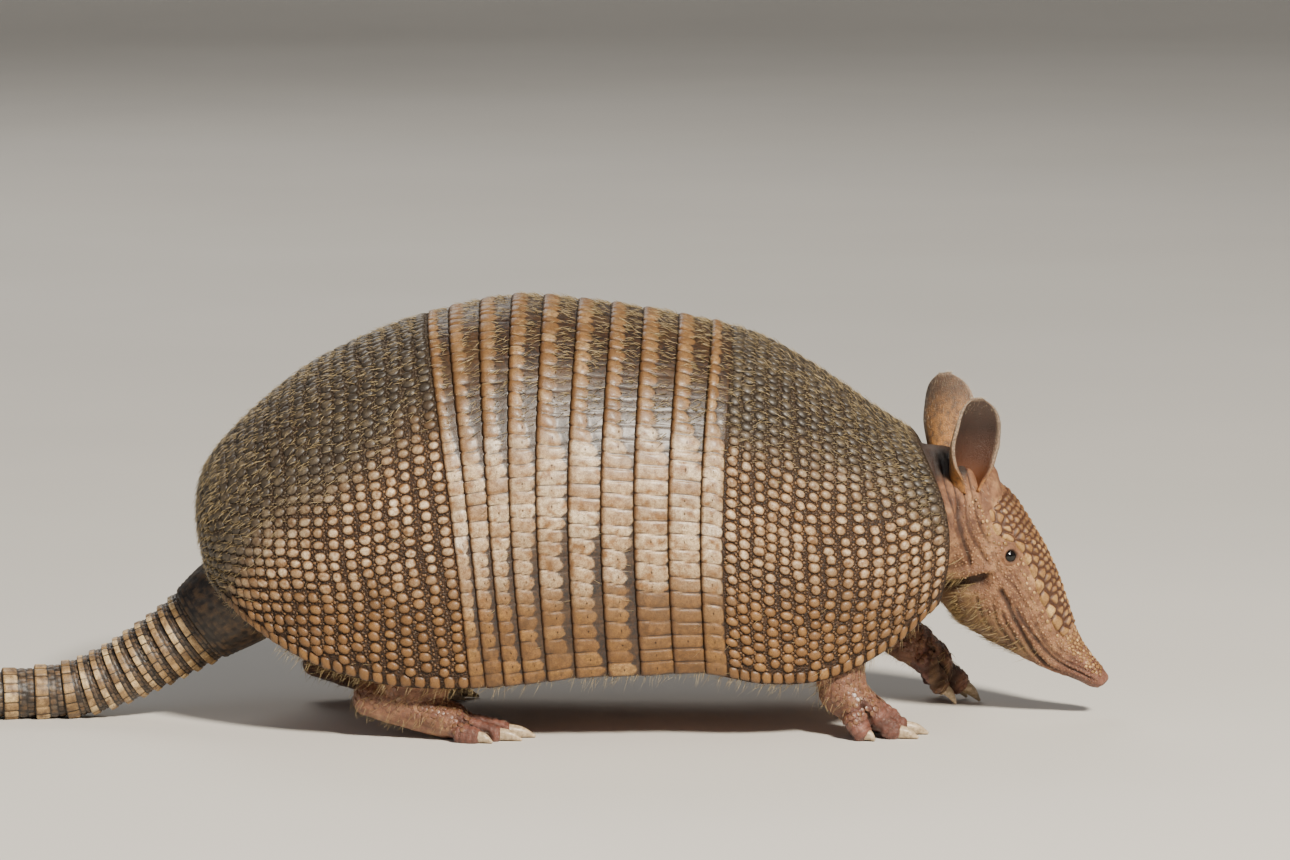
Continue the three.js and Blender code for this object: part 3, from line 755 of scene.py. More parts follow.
def strip(name, number, rear, front, columns, seed, drop=1.1, thick=PLATE, room=0.12, bulge=0.55,
          sink_front=0.0):
    """A closed strip of plates from one edge to the other of the shell."""
    look_up = plate_rows((rear + front) / 2, seed)
    plates = plate_count((rear + front) / 2)
    reach = front - room - rear + BAND_LIP

    def along(u):
        return rear - BAND_LIP + u * reach

    def slanted(u, share):
        """The plates' borders wander a little instead of running dead straight."""
        bend = wobble(np.stack([u * 9, share * 60, 0 * u + seed], axis=-1), 5, 14)
        return np.clip(share + bend * 0.3 * (1 - share ** 8) / plates, -1, 1)

    def relief(u, v):
        share = np.clip(2 * v - 1, -1, 1)
        front_part = (along(u) - rear) / (front - rear)
        middle, tone = look_up(slanted(u, share))
        place = vault(along(u), share) / MM
        back = back_of(along(u), share)
        pale_end = pale_share(number, place)
        ragged = (front_part + 0.04 * wobble(place, 2.6, 12) + (tone - 0.5) * 0.1
                  + 0.16 * (middle ** 2 - 0.5))
        pale = 1 - smooth(pale_end - 0.09, pale_end + 0.09, ragged)
        border = (1 - middle) * 2.7
        groove = np.exp(-(border / 0.34) ** 2)
        crest = np.sin(np.clip((front_part + 0.06) / (pale_end + 0.12), 0, 1) * np.pi) ** 0.7
        rise = pale * (bulge + 0.15 * back) * crest * (1 - 0.6 * middle ** 3)
        rise += (tone - 0.5) * 0.12
        rise -= groove * (0.26 + 0.16 * pale)
        rise += 0.05 * wobble(np.stack([along(u), share * 120, v * 0], axis=-1), 1.6, seed + 1)
        free_edge = np.exp(-((along(u) - rear + BAND_LIP) / 0.35) ** 2)
        rise -= free_edge * (0.45 + 0.25 * groove)
        end = smooth(0, 0.012, v) * smooth(0, 0.012, 1 - v)
        return rise - 0.5 * (1 - end) - sink_front * smooth(0.75, 1.0, front_part), front_part, pale, groove

    def outer(u, v):
        rise, front_part, _, _ = relief(u, v)
        jag = 0.16 * (1 - look_up(2 * v - 1)[0] ** 2) * np.exp(-(u * 8))
        return vault(along(u) - jag, 2 * v - 1, 0.2 - drop * np.clip(front_part, 0, 1.3) + rise)

    def inner(u, v):
        return vault(rear + 0.35 + u * (front - room - rear - 0.35), 2 * v - 1, -thick + 0.1)

    mesh, flat, side = plate_mesh(columns, plates * ROWS_PER_PLATE, outer, inner, name)
    u, v = flat[:, 0], flat[:, 1]
    rise, front_part, pale, groove = relief(u, v)
    middle, tone = look_up(slanted(u, 2 * v - 1))
    paint_values(mesh, {
        "rise": np.where(side > 0, -1, rise * 1.2 + 0.55), "tone": tone, "middle": middle,
        "front": front_part, "pale": pale, "groove": groove, "back": back_of(along(u), 2 * v - 1),
        "warm": warm_of(vault(along(u), 2 * v - 1) / MM)})
    lay_plate_uv(mesh, flat, side)
    return mesh


for number in range(1, len(BAND_EDGES)):
    rear, front = BAND_EDGES[number - 1:number + 1]
    mesh = strip(f"band_{number}_plates", number, rear, front, 14 if front - rear > 9 else 11,
                 30 + number)
    add_piece(mesh, f"band_{number}_plates", BAND, [f"band_{number}"])
mesh = strip("shoulder_edge_plates", 11, BAND_EDGES[-1], 232.2, 12, 50, drop=0.35, bulge=0.65,
             thick=1.2, room=0.0, sink_front=0.35)
add_piece(mesh, "shoulder_edge_plates", BAND)

# %% [markdown]
# ## The shell's hairs
# Fine pale hairs grow from behind the plates. On the back they are dense enough to soften the whole
# outline, and on the flanks they are few. Each is a thin three-sided spike that rises from its root
# and bends over backwards. Its root's place on the unrolled shell is also its place on the UV map.

# %% One hair, and many
def hair_shape():
    """A spike along x, one long and one thick, in four pieces that taper to a point."""
    bm = bmesh.new()
    bmesh.ops.create_cone(bm, cap_ends=True, segments=3, radius1=1.0, radius2=0.0, depth=1.0)
    bmesh.ops.remove_doubles(bm, verts=bm.verts, dist=1e-5)
    long_edges = [edge for edge in bm.edges if abs(edge.verts[0].co.z - edge.verts[1].co.z) > 0.5]
    bmesh.ops.subdivide_edges(bm, edges=long_edges, cuts=2)
    for vert in bm.verts:
        x, y, z = vert.co
        along = z + 0.5
        widen = 1 + 0.9 * along * (1 - along)
        vert.co = (along, y * widen, -x * widen)
    return mesh_of(bm, "hair_shape")


HAIR = hair_shape()
HAIR_POINTS = arrays_of(HAIR)[0]


def hair_mesh(name, roots, lie, out, length, thick, lift, bend, root_uv, maker):
    """Hairs in millimetres: roots, unit lie and outward vectors, sizes, and each root's UV place."""
    side = np.cross(out, lie)
    x, y, z = [HAIR_POINTS[None, :, k, None] for k in range(3)]
    rise = lift[:, None, None] * x - bend[:, None, None] * x * x
    copies = (roots[:, None, :] + length[:, None, None] * (x * lie[:, None, :] + rise * out[:, None, :])
              + thick[:, None, None] * (y * side[:, None, :] + z * out[:, None, :]))
    mesh = mesh_of_copies(name, HAIR, copies * MM)
    count, per = len(roots), len(HAIR_POINTS)
    turn = np.arctan2(HAIR_POINTS[:, 2], HAIR_POINTS[:, 1]) / (2 * np.pi)
    patch = np.stack([HAIR_POINTS[:, 0] - 0.5, turn], axis=-1) * 0.003
    paint_values(mesh, {"tip": np.tile(HAIR_POINTS[:, 0], count),
                        "tone": np.repeat(maker.uniform(0, 1, count), per)})
    lay_uv(mesh, np.repeat(root_uv, per, axis=0) * 0.99 + 0.004 + np.tile(patch, (count, 1)))
    return mesh


def turned(lie, out, angle):
    """The lie turned about the outward direction by an angle in radians."""
    return lie * np.cos(angle)[:, None] + np.cross(out, lie) * np.sin(angle)[:, None]


def hair_material(name, root, pale, tip):
    material, tree, shader = new_material(name)
    along, tone = stored(tree, "tip", "tone")
    shade = nudged(tree, along, tone, 0.7)
    color = ramp(tree, shade, (0.0, root), (0.35, pale), (1.0, tip))
    strands = speckle(tree, 0.6, 2.0)
    finish_material(tree, shader, color, 0.5, bumps(tree, strands, 0.03), Specular_IOR_Level=0.35)
    return material


SHELL_HAIR = hair_material("shell_hair", "54462f", "9c875f", "cdb88f")


def shell_hairs(name, first, last, density, seed, span, front_only=None):
    """Hairs over a stretch of the shell, densest on the back."""
    maker = np.random.default_rng(seed)
    area = (last - first) * 2 * float(half_arc((first + last) / 2))
    count = int(area * density)
    at = maker.uniform(first, last, count)
    share = maker.uniform(-0.985, 0.985, count)
    back = back_of(at, share)
    keep = maker.uniform(0, 1, count) < 0.035 + back ** 1.2
    if front_only is not None:
        keep &= front_only(at, back)
    at, share = at[keep], share[keep]
    count = len(at)
    forward, _, out = vault_axes(at, share)
    yaw = maker.normal(0, 0.32, count) - np.sign(share) * 0.35
    lie = turned(-forward, out, yaw)
    length = maker.uniform(2.6, 5.0, count)
    roots = vault(at, share, -0.4) / MM
    uv = np.stack([(at - span[0]) / (span[1] - span[0]), (share + 1) / 2], axis=-1)
    mesh = hair_mesh(name, roots, lie, out, length, maker.uniform(0.08, 0.14, count),
                     maker.uniform(0.4, 0.85, count), maker.uniform(0.25, 0.6, count), uv, maker)
    return add_piece(mesh, name, SHELL_HAIR)


def band_front(at, back):
    """Keep hairs that grow on the dark front part of a band."""
    edges = np.array(BAND_EDGES)
    which = np.clip(np.searchsorted(edges, at, side="right") - 1, 0, len(edges) - 2)
    part = (at - edges[which]) / (edges[which + 1] - edges[which])
    return part > 0.7 - 0.4 * back


shell_hairs("pelvic_hair", 2, 127, 0.24, 71, (0, 128))
shell_hairs("band_hair", 128, 223.4, 0.34, 72, (128, 223.5), band_front)
shell_hairs("scapular_hair", 224, 316, 0.28, 73, (223.5, SHELL_END))

# %% [markdown]
# ## The tail
# The tail is a tapering rod in rings of small plates. Every ring has a dark, glossy front part of
# little scales and a row of longer tan plates behind, whose free edge stands over the next ring. One
# closed tube follows the tail's curve and its surface is pushed in and out ring by ring. The curve
# passes through the same points as the solid's.

# %% Curves through points, and closed tubes along them
def curve(points, f, tangent=False):
    """Places on a smooth curve through points, f from 0 to 1 over the points' index."""
    if tangent:
        low, high = np.clip(np.asarray(f) - 1e-4, 0, 1), np.clip(np.asarray(f) + 1e-4, 0, 1)
        return unit(curve(points, high) - curve(points, low))
    rows = np.asarray(points, float)
    rows = np.vstack([2 * rows[0] - rows[1], rows, 2 * rows[-1] - rows[-2]])
    place = np.clip(np.asarray(f, float), 0, 1) * (len(rows) - 3)
    i = np.minimum(place.astype(int), len(rows) - 4)
    w = (place - i)[..., None]
    p0, p1, p2, p3 = rows[i], rows[i + 1], rows[i + 2], rows[i + 3]
    d0, d1, d2 = [np.linalg.norm(b - a, axis=-1, keepdims=True) ** 0.5
                  for a, b in ((p0, p1), (p1, p2), (p2, p3))]
    t1 = ((p1 - p0) / d0 - (p2 - p0) / (d0 + d1) + (p2 - p1) / d1) * d1
    t2 = ((p2 - p1) / d1 - (p3 - p1) / (d1 + d2) + (p3 - p2) / d2) * d1
    return p1 + t1 * w + (3 * (p2 - p1) - 2 * t1 - t2) * w ** 2 + (2 * (p1 - p2) + t1 + t2) * w ** 3


def tube_frame(points, f):
    """Centre, level side and upward direction at places on a curve."""
    forward = curve(points, f, tangent=True)
    level = np.array([0.0, 1.0, 0.0])
    side = unit(level - forward * forward[..., 1:2])
    return curve(points, f), forward, side, np.cross(side, forward)


def closed_tube(sides, stations, place, name):
    """A closed body from a ball: every ring of the ball is laid out by place(along, turn)."""
    bm = bmesh.new()
    bmesh.ops.create_uvsphere(bm, u_segments=sides, v_segments=stations, radius=1.0)
    ball = np.array([vert.co[:] for vert in bm.verts])
    along = 1 - np.arccos(np.clip(ball[:, 2], -1, 1)) / np.pi
    turn = np.arctan2(ball[:, 1], ball[:, 0]) / (2 * np.pi) % 1.0
    turn[np.abs(turn - 1) < 1e-5] = 0
    for vert, point in zip(bm.verts, place(along, turn)):
        vert.co = point
    bmesh.ops.recalc_face_normals(bm, faces=bm.faces)
    return mesh_of(bm, name), along, turn


def lay_tube_uv(mesh, along, turn):
    """Unroll a tube over the UV square, with the seam's faces kept in one piece."""
    _, corners, totals = arrays_of(mesh)
    face = np.repeat(np.arange(len(totals)), totals)
    around, pole = turn[corners].copy(), (along[corners] < 1e-4) | (along[corners] > 1 - 1e-4)
    solid = np.where(pole, np.nan, around)
    starts = np.cumsum(totals) - totals
    highest = np.fmax.reduceat(solid, starts)
    lowest = np.fmin.reduceat(solid, starts)
    crossing = (highest - lowest > 0.5)[face]
    around[crossing & (around < 0.5)] += 1
    lifted = np.where(pole, np.nan, around)
    middle = (np.fmax.reduceat(lifted, starts) + np.fmin.reduceat(lifted, starts)) / 2
    around[pole] = middle[face][pole]
    u, v = 0.002 + 0.996 * along[corners], 0.002 + 0.96 * around
    layer = mesh.uv_layers.new(name="OFBake")
    layer.data.foreach_set("uv", np.stack([u, v], axis=-1).astype(np.float32).ravel())


# %% The tail's own curve and rings
TAIL = [
    [-118, 0, 56.5, 21],
    [-137, 0, 44, 18.5],
    [-151, 0.5, 34, 15.6],
    [-165, 1, 25.3, 14],
    [-179, 1.5, 17.5, 12.8],
    [-196, 1.5, 11.4, 11.7],
    [-230, -2, 9.2, 9.9],
    [-280, -15, 7.1, 7.7],
    [-335, -27, 5.3, 5.8],
    [-390, -30, 3.7, 4.2],
    [-436, -26, 2.1, 2.6],
]
TAIL_RINGS, TAIL_RING_START, TAIL_RING_END, TAIL_STEP = 13, 0.165, 0.62, 1.3
TAIL_POINTS = [[x + BODY_X, y, z] for x, y, z, _ in TAIL]
TAIL_RADIUS = [[i / (len(TAIL) - 1), row[3]] for i, row in enumerate(TAIL)]
TAIL_SIDES = 120


def tail_place(f, turn, out):
    """A point on the tail: share along, share of a turn round, millimetres out from its radius."""
    centre, _, side, up = tube_frame(TAIL_POINTS, f)
    radius = between(TAIL_RADIUS, f)[..., 0] + out
    angle = 2 * np.pi * turn
    point = (centre + side * (radius * np.cos(angle))[..., None]
             + up * (radius * np.sin(angle))[..., None])
    point[..., 2] = np.maximum(point[..., 2], 0.02)
    return point * MM


def pillow(across, along, edge):
    """A little cushion: 1 in the middle of a plate, 0 in the groove round it; inputs run -1 to 1."""
    return np.minimum(1 - smooth(1 - edge, 1, np.abs(across)), 1 - smooth(1 - edge, 1, np.abs(along)))


def tail_relief(f, turn):
    """Height in millimetres, how tan it is, and a tone per plate, for places on the tail."""
    ring = (f - TAIL_RING_START) / (TAIL_RING_END - TAIL_RING_START) * TAIL_RINGS
    number = np.clip(np.floor(ring), 0, TAIL_RINGS - 1)
    w = np.clip(ring - number, 0, 1)
    around = np.clip(np.round(22 - number * 0.55), 12, 24)
    tone_of = np.random.default_rng(61).uniform(0, 1, (64, 64))
    # the long tan plates at the ring's rear part
    column = turn * around + 0.5 * (number % 2)
    plate = pillow((column % 1) * 2 - 1, (w - 0.5) / 0.5 * 2 - 1, 0.3)
    plate_tone = tone_of[number.astype(int) % 64, np.floor(column).astype(int) % 64]
    # two rows of small scales at its front part
    row = np.floor(np.clip(w / 0.25, 0, 1.99))
    column_small = turn * around * 1.5 + 0.5 * row
    small = pillow((column_small % 1) * 2 - 1, ((w / 0.25) % 1) * 2 - 1, 0.45)
    small_tone = tone_of[(number.astype(int) * 2 + row.astype(int) + 20) % 64,
                         np.floor(column_small).astype(int) % 64]
    rear = w > 0.5
    ringed = (ring >= 0) & (ring < TAIL_RINGS)
    height = np.where(rear, plate * 0.55, small * 0.4 - 0.1) - TAIL_STEP * (1 - w) - 0.25
    height -= 0.9 * smooth(0.93, 1.0, w) ** 2
    tan = np.where(rear, 0.65 + 0.35 * smooth(0.55, 0.9, w), 0.12)
    # the tip: long narrow scales in offset rows, and the bare skin at the root
    step = np.where(f > TAIL_RING_END, (f - TAIL_RING_END) / 0.011, (f - TAIL_RING_START) / 0.012)
    row = np.floor(step)
    column_tip = turn * np.where(f > 0.8, 11, 14) + 0.5 * (row % 2)
    tip = pillow((column_tip % 1) * 2 - 1, (step % 1) * 2 - 1, 0.45)
    tip_height = tip * np.where(f > TAIL_RING_END, 0.3, 0.35) - 0.35 - 0.1 * (f - TAIL_RING_END)
    tip_tone = tone_of[row.astype(int) % 64, np.floor(column_tip).astype(int) % 64]
    tip_tone = np.where(f > TAIL_RING_END, 1, 0.4) * tip_tone
    height = np.where(ringed, height, tip_height)
    plate_rise = np.where(ringed, np.where(rear, plate, small), tip)
    tan = np.where(ringed, tan, np.where(f > TAIL_RING_END, 0.45, 0.0))
    tone = np.where(ringed, np.where(rear, plate_tone, small_tone), tip_tone)
    return height, plate_rise, tan, tone


def tail_share(along):
    """Stations crowd together at the ring edges, where the surface steps."""
    edges = np.linspace(TAIL_RING_START, TAIL_RING_END, TAIL_RINGS + 1)
    ring_stations = []
    t = np.arange(18) / 18
    for low, high in zip(edges[:-1], edges[1:]):
        ring_stations.append(low + (high - low) * (t - 0.11 * np.sin(2 * np.pi * t)))
    stations = np.concatenate([np.linspace(0.02, TAIL_RING_START, 26)[:-1], *ring_stations,
                               np.linspace(TAIL_RING_END, 1.0, 150)])
    return np.interp(along, np.linspace(0, 1, len(stations)), stations), len(stations)


def tail_mesh():
    stations = tail_share(np.zeros(1))[1]

    def place(along, turn):
        f, _ = tail_share(along)
        height = tail_relief(f, turn)[0]
        ends = smooth(0, 0.004, along) * (1 - 0.999 * smooth(0.995, 1.0, along))
        points = tail_place(f, turn, height)
        middle = curve(TAIL_POINTS, f) * MM
        return middle + (points - middle) * ends[:, None]

    mesh, along, turn = closed_tube(TAIL_SIDES, stations - 1, place, "tail_plates")
    f, _ = tail_share(along)
    _, rise, tan, tone = tail_relief(f, turn)
    paint_values(mesh, {"rise": rise, "tan": tan, "tone": tone})
    lay_tube_uv(mesh, along, turn)
    return mesh


def tail_material():
    material, tree, shader = new_material("tail_horn")
    rise, tone, tan = stored(tree, "rise", "tone", "tan")
    pale = ramp(tree, tone, (0.0, "8f7047"), (0.5, "b18f61"), (1.0, "cbb081"))
    dark = ramp(tree, tone, (0.0, "2e2621"), (0.6, "4a3f36"), (1.0, "655848"))
    cloud = speckle(tree, 5.0)
    mixed = nudged(tree, tan, cloud, 0.7)
    high = blend(tree, ramp(tree, mixed, (0.3, 0.0), (0.62, 1.0)), dark, pale)
    color, grain = worn_and_shaded_horn(tree, "1f1915", high, "6b5238", rise, tone, 3.0)
    rough = ramp(tree, grain, (0.4, 0.3), (1.2, 0.5))
    finish_material(tree, shader, color, rough, bumps(tree, grain, 0.1))
    return material


add_piece(tail_mesh(), "tail_plates", tail_material(),
          ["tail_base", "tail_rings_1", "tail_rings_2", "tail_rings_3", "tail_tip"])

# %% [markdown]
# ## The head's surface
# The head is a long cone through eleven measured sections, pitched down and turned a little to the
# animal's left. Everything on it, from the forehead's plates to the eyelids, is placed by how far
# along the head it is and how many degrees round from the crown.

# %% Places on the head
HEAD_BACK = np.array([152 + BODY_X, 0, 85.5])
PITCH, YAW = math.radians(54), math.radians(7)
HEAD_FORWARD = np.array([math.cos(PITCH) * math.cos(YAW), math.cos(PITCH) * math.sin(YAW),
                         -math.sin(PITCH)])
HEAD_LEFT = np.array([-math.sin(YAW), math.cos(YAW), 0])
HEAD_UP = np.cross(HEAD_FORWARD, HEAD_LEFT)
TALL_POWER, WIDE_POWER = 0.93, 0.9  # below 1, a section is a little squarer than an ellipse
HEAD = [
    [-15, -5, 14, 18, 17],
    [-6, -5, 18.5, 24, 20.5],
    [10, -4, 20.5, 26, 22],
    [21, -4, 20, 26.5, 21.5],
    [36, -5, 19.5, 24.5, 18.5],
    [48, -5.5, 17.3, 19.5, 14.5],
    [62, -4.5, 12, 14, 10.3],
    [71, -3.5, 9, 10.8, 8.6],
    [79, -1.7, 6.8, 7.2, 7.4],
    [86, 0.2, 5.3, 4.8, 6.6],
    [90.5, 1.2, 4.4, 3.9, 5.8],
]


def power(value, exponent):
    return np.sign(value) * np.abs(value) ** exponent


def on_head(at, degrees, out=0.0):
    """Points in millimetres on the head; degrees run round from the crown, plus to the left."""
    at, degrees, out = np.broadcast_arrays(*[np.asarray(v, float) for v in (at, degrees, out)])
    middle, rise, depth, half_width = np.moveaxis(between(HEAD, at), -1, 0)
    angle = np.radians(degrees)
    tall = np.where(np.cos(angle) > 0, rise, depth)
    up = middle + (tall + out) * power(np.cos(angle), TALL_POWER)
    left = (half_width + out) * power(np.sin(angle), WIDE_POWER)
    return (HEAD_BACK + HEAD_FORWARD * at[..., None] + HEAD_UP * up[..., None]
            + HEAD_LEFT * left[..., None])


def head_measures(points):
    """For points in millimetres: how far along the head, degrees round from the crown."""
    local = points - HEAD_BACK
    at = local @ HEAD_FORWARD
    middle, rise, depth, half_width = np.moveaxis(between(HEAD, np.clip(at, -15, 90.5)), -1, 0)
    up, left = local @ HEAD_UP - middle, local @ HEAD_LEFT
    tall = np.where(up > 0, rise, depth)
    return at, np.degrees(np.arctan2(power(left / half_width, 1 / WIDE_POWER),
                                     power(up / tall, 1 / TALL_POWER)))


# %% [markdown]
# A shield of flat horny plates covers the forehead. The plates are irregular polygons, larger along
# the sides. Their seeds stand in uneven rows, and each point of the surface belongs to its nearest
# seed, so the borders come out as straight lines between neighbours, as real ones do.

# %% The forehead's plates
HEAD_SHIELD = [[3, 70], [9, 78], [15, 79], [22, 68], [34, 69], [46, 75], [54, 77], [60, 79], [66, 74]]
HEAD_SHIELD_THICK = 1.3


def head_plane(at, degrees):
    """Distances in millimetres along and round the head, for spacing plates."""
    half_width = between(HEAD, at)[..., 3]
    return np.stack([at, np.radians(degrees) * half_width * 1.02], axis=-1)


def head_seeds():
    maker = np.random.default_rng(11)
    seeds = []
    for row, at in enumerate(np.arange(3.6, 68, 2.9)):
        half = float(between(HEAD_SHIELD, min(at, 66))[0])
        reach = float(head_plane(np.array(at), np.array(half))[1])
        if row % 2:
            seeds += [(at + maker.normal(0, 0.5), side * (reach - 2.1)) for side in (-1, 1)]
        inner = reach - 5.2
        count = max(1, int(round(2 * inner / 3.5)))
        across = (np.arange(count) + 0.5 * (1 + row % 2 * 0.9)) / count * 2 - 1
        seeds += [(at + maker.normal(0, 0.35), value * inner + maker.normal(0, 0.4)) for value in across]
    return np.array(seeds)


SEEDS = head_seeds()
SEED_TONES = np.random.default_rng(12).uniform(0.1, 0.75, len(SEEDS))
SEED_TONES[np.abs(SEEDS[:, 1]) > head_plane(SEEDS[:, 0], 57)[:, 1]] += 0.12


def head_plates(at, degrees):
    """Distance to the nearest plate border in millimetres, and the plate's tone."""
    plane = head_plane(at, degrees)
    distance = np.linalg.norm(plane[:, None, :] - SEEDS[None, :, :], axis=-1)
    order = np.argsort(distance, axis=1)[:, :2]
    nearest, second = [np.take_along_axis(distance, order[:, k:k + 1], axis=1)[:, 0] for k in (0, 1)]
    return (second - nearest) / 2, SEED_TONES[order[:, 0]]


def head_shield_mesh():
    def places(u, v):
        at = 3.4 + 62.2 * u
        return at, (2 * v - 1) * between(HEAD_SHIELD, at)[:, 0] * 0.985

    def outer(u, v):
        at, degrees = places(u, v)
        border, tone = head_plates(at, degrees)
        rim = np.minimum(np.minimum(u, 1 - u) * 62, np.minimum(v, 1 - v) * 40)
        edge = smooth(0, 1.6, rim)
        rise = 1.15 * (1 - np.exp(-np.clip(border - 0.12, 0, 9) / 0.75)) + (tone - 0.5) * 0.2
        ragged = np.clip(edge * 1.3 - 0.3 * np.exp(-(border / 0.5) ** 2), 0, 1)
        return on_head(at, degrees, -0.75 + (HEAD_SHIELD_THICK - 0.5 + rise) * ragged) * MM

    def inner(u, v):
        at, degrees = places(u, v)
        return on_head(at, degrees, -0.9) * MM

    mesh, flat, side = plate_mesh(150, 110, outer, inner, "forehead_plates")
    at, degrees = places(flat[:, 0], flat[:, 1])
    border, tone = head_plates(at, degrees)
    paint_values(mesh, {"rise": smooth(0.15, 1.15, border), "tone": tone,
                        "crown": (1 - smooth(6, 34, at)) * (1 - smooth(35, 62, np.abs(degrees)))})
    lay_plate_uv(mesh, flat, side)
    return mesh


def mask_material():
    material, tree, shader = new_material("forehead_horn")
    rise, tone = stored(tree, "rise", "tone")
    high = ramp(tree, tone, (0.0, "99713e"), (0.4, "b58b55"), (0.8, "cca66d"), (1.0, "dbbd88"))
    crown = ramp(tree, tone, (0.0, "4d3b28"), (0.6, "6f5638"), (1.0, "94754a"))
    high = blend(tree, stored(tree, "crown"), high, crown)
    # Darker brown towards each plate's border: painted shade of the low places, partly the dark seams.
    high = blend(tree, ramp(tree, rise, (0.3, 0.0), (0.9, 1.0)), "7d5638", high)
    color, grain = worn_and_shaded_horn(tree, "472a1a", high, "8a6038", rise, tone, 3.0)
    color = mottled(tree, color, "6b472a", 0.3)
    rough = ramp(tree, grain, (0.4, 0.36), (1.2, 0.55))
    finish_material(tree, shader, color, rough, bumps(tree, grain, 0.12), Specular_IOR_Level=0.45)
    return material


MASK = mask_material()
add_piece(head_shield_mesh(), "forehead_plates", MASK, ["head_shield"])


# %% Loose scales before and behind the shield
def head_pebbles():
    maker = np.random.default_rng(13)
    rows = []
    for first, last, half, step in ((-12, 2.8, 62, 2.7), (66.8, 87, 78, 1.9)):
        for row, at in enumerate(np.arange(first, last, step * 0.9)):
            width = float(head_plane(np.array(at), np.array(half))[1])
            for across in np.arange(-width + (row % 2) * step / 2, width, step):
                place = half * across / width
                size = step * maker.uniform(0.38, 0.5)
                rows.append((at + maker.normal(0, 0.3), place + maker.normal(0, 1.5), size))
    at, degrees, size = np.array(rows).T
    forward = unit(on_head(at + 0.5, degrees) - on_head(at - 0.5, degrees))
    round_it = unit(on_head(at, degrees + 2) - on_head(at, degrees - 2))
    out = unit(np.cross(forward, round_it))
    axes = np.stack([forward * size[:, None], round_it * size[:, None], out * 0.45], axis=-1)
    mesh, shape_points = stamp("snout_scales", BEAD_SHAPE, on_head(at, degrees, -0.15) * MM, axes * MM)
    count, per = len(at), len(shape_points)
    level = np.clip(shape_points[:, 2], 0, 1)
    paint_values(mesh, {"rise": np.tile(level, count), "tone": np.repeat(maker.uniform(0, 1, count), per),
                        "crown": np.repeat((at < 10) * 1.0, per)})
    flat = laid_flat(shape_points, level) * 0.006
    uv = np.stack([(at + 15) / 106, (degrees + 90) / 180], axis=-1)
    lay_uv(mesh, np.repeat(uv, per, axis=0) * 0.96 + 0.02 + np.tile(flat, (count, 1)))
    return mesh


add_piece(head_pebbles(), "snout_scales", MASK)

# %% [markdown]
# ## The skin
# Neck, head, ears, belly and legs are one soft skin. Each is first a closed body along its own curve
# or through its own sections. The bodies are put in one mesh and remeshed on a fine grid, which melts
# them into a single surface, and that surface is relaxed. The faces that the shell hides are thinned
# out, and the folds, lids and creases are then pressed in by small functions.

# %% Limbs, with the same joints as the solids
ROUND_END = 0.12  # the share of a limb's rings that each round end takes


def limb_mesh(joints, side, sides=40, stations=44, dome=0.5):
    """A closed body with round ends through joints of x, y, z, half width, half height."""
    joints = np.array([row if len(row) == 5 else row + [row[3]] for row in joints], float)
    joints[:, 1] *= side
    points = joints[:, :3] + (BODY_X, 0, 0)
    sizes = np.column_stack([np.arange(len(joints)), joints[:, 3:]])

    def place(along, turn):
        share = np.clip((along - ROUND_END) / (1 - 2 * ROUND_END), 0, 1)
        beyond = np.where(along < ROUND_END, along / ROUND_END - 1,
                          np.clip(along - (1 - ROUND_END), 0, 1) / ROUND_END)
        centre, forward, level, up = tube_frame(points, share)
        half = between(sizes, share * (len(joints) - 1))
        reach = 1.5 * dome * half.min(axis=-1)
        shrink = np.cos(np.arcsin(np.clip(np.abs(beyond), 0, 1)))
        angle = 2 * np.pi * turn
        return (centre + forward * (beyond * reach)[:, None]
                + level * (half[:, 0] * np.cos(angle) * shrink)[:, None]
                + up * (half[:, 1] * np.sin(angle) * shrink)[:, None])

    return closed_tube(sides, stations, place, "limb")[0]


NECK = [
    [108, 0, 79, 45, 33],
    [122, 0, 79.5, 44.5, 32.5],
    [130, 0, 79.5, 41, 30.5],
    [137, 0, 79.5, 35.5, 28.2],
    [142, 0, 79.5, 31.5, 27.5],
    [158, 1, 76.5, 22.5, 24],
]
LEFT_HIND_BEHIND, SOLE_DIP = 24, 1.5


def leg_of(side, upper, paw, toes, claws, behind=0):
    """Joints are x from the middle of the shell, y to the outside, z, half width and half height."""
    def shifted(joints, dz):
        return [[x - behind, y, z + dz, *sizes] for x, y, z, *sizes in joints]

    return {"side": side, "upper": shifted(upper, 0), "paw": shifted(paw, -SOLE_DIP),
            "toes": [shifted(toe, -SOLE_DIP) for toe in toes], "claws": claws}


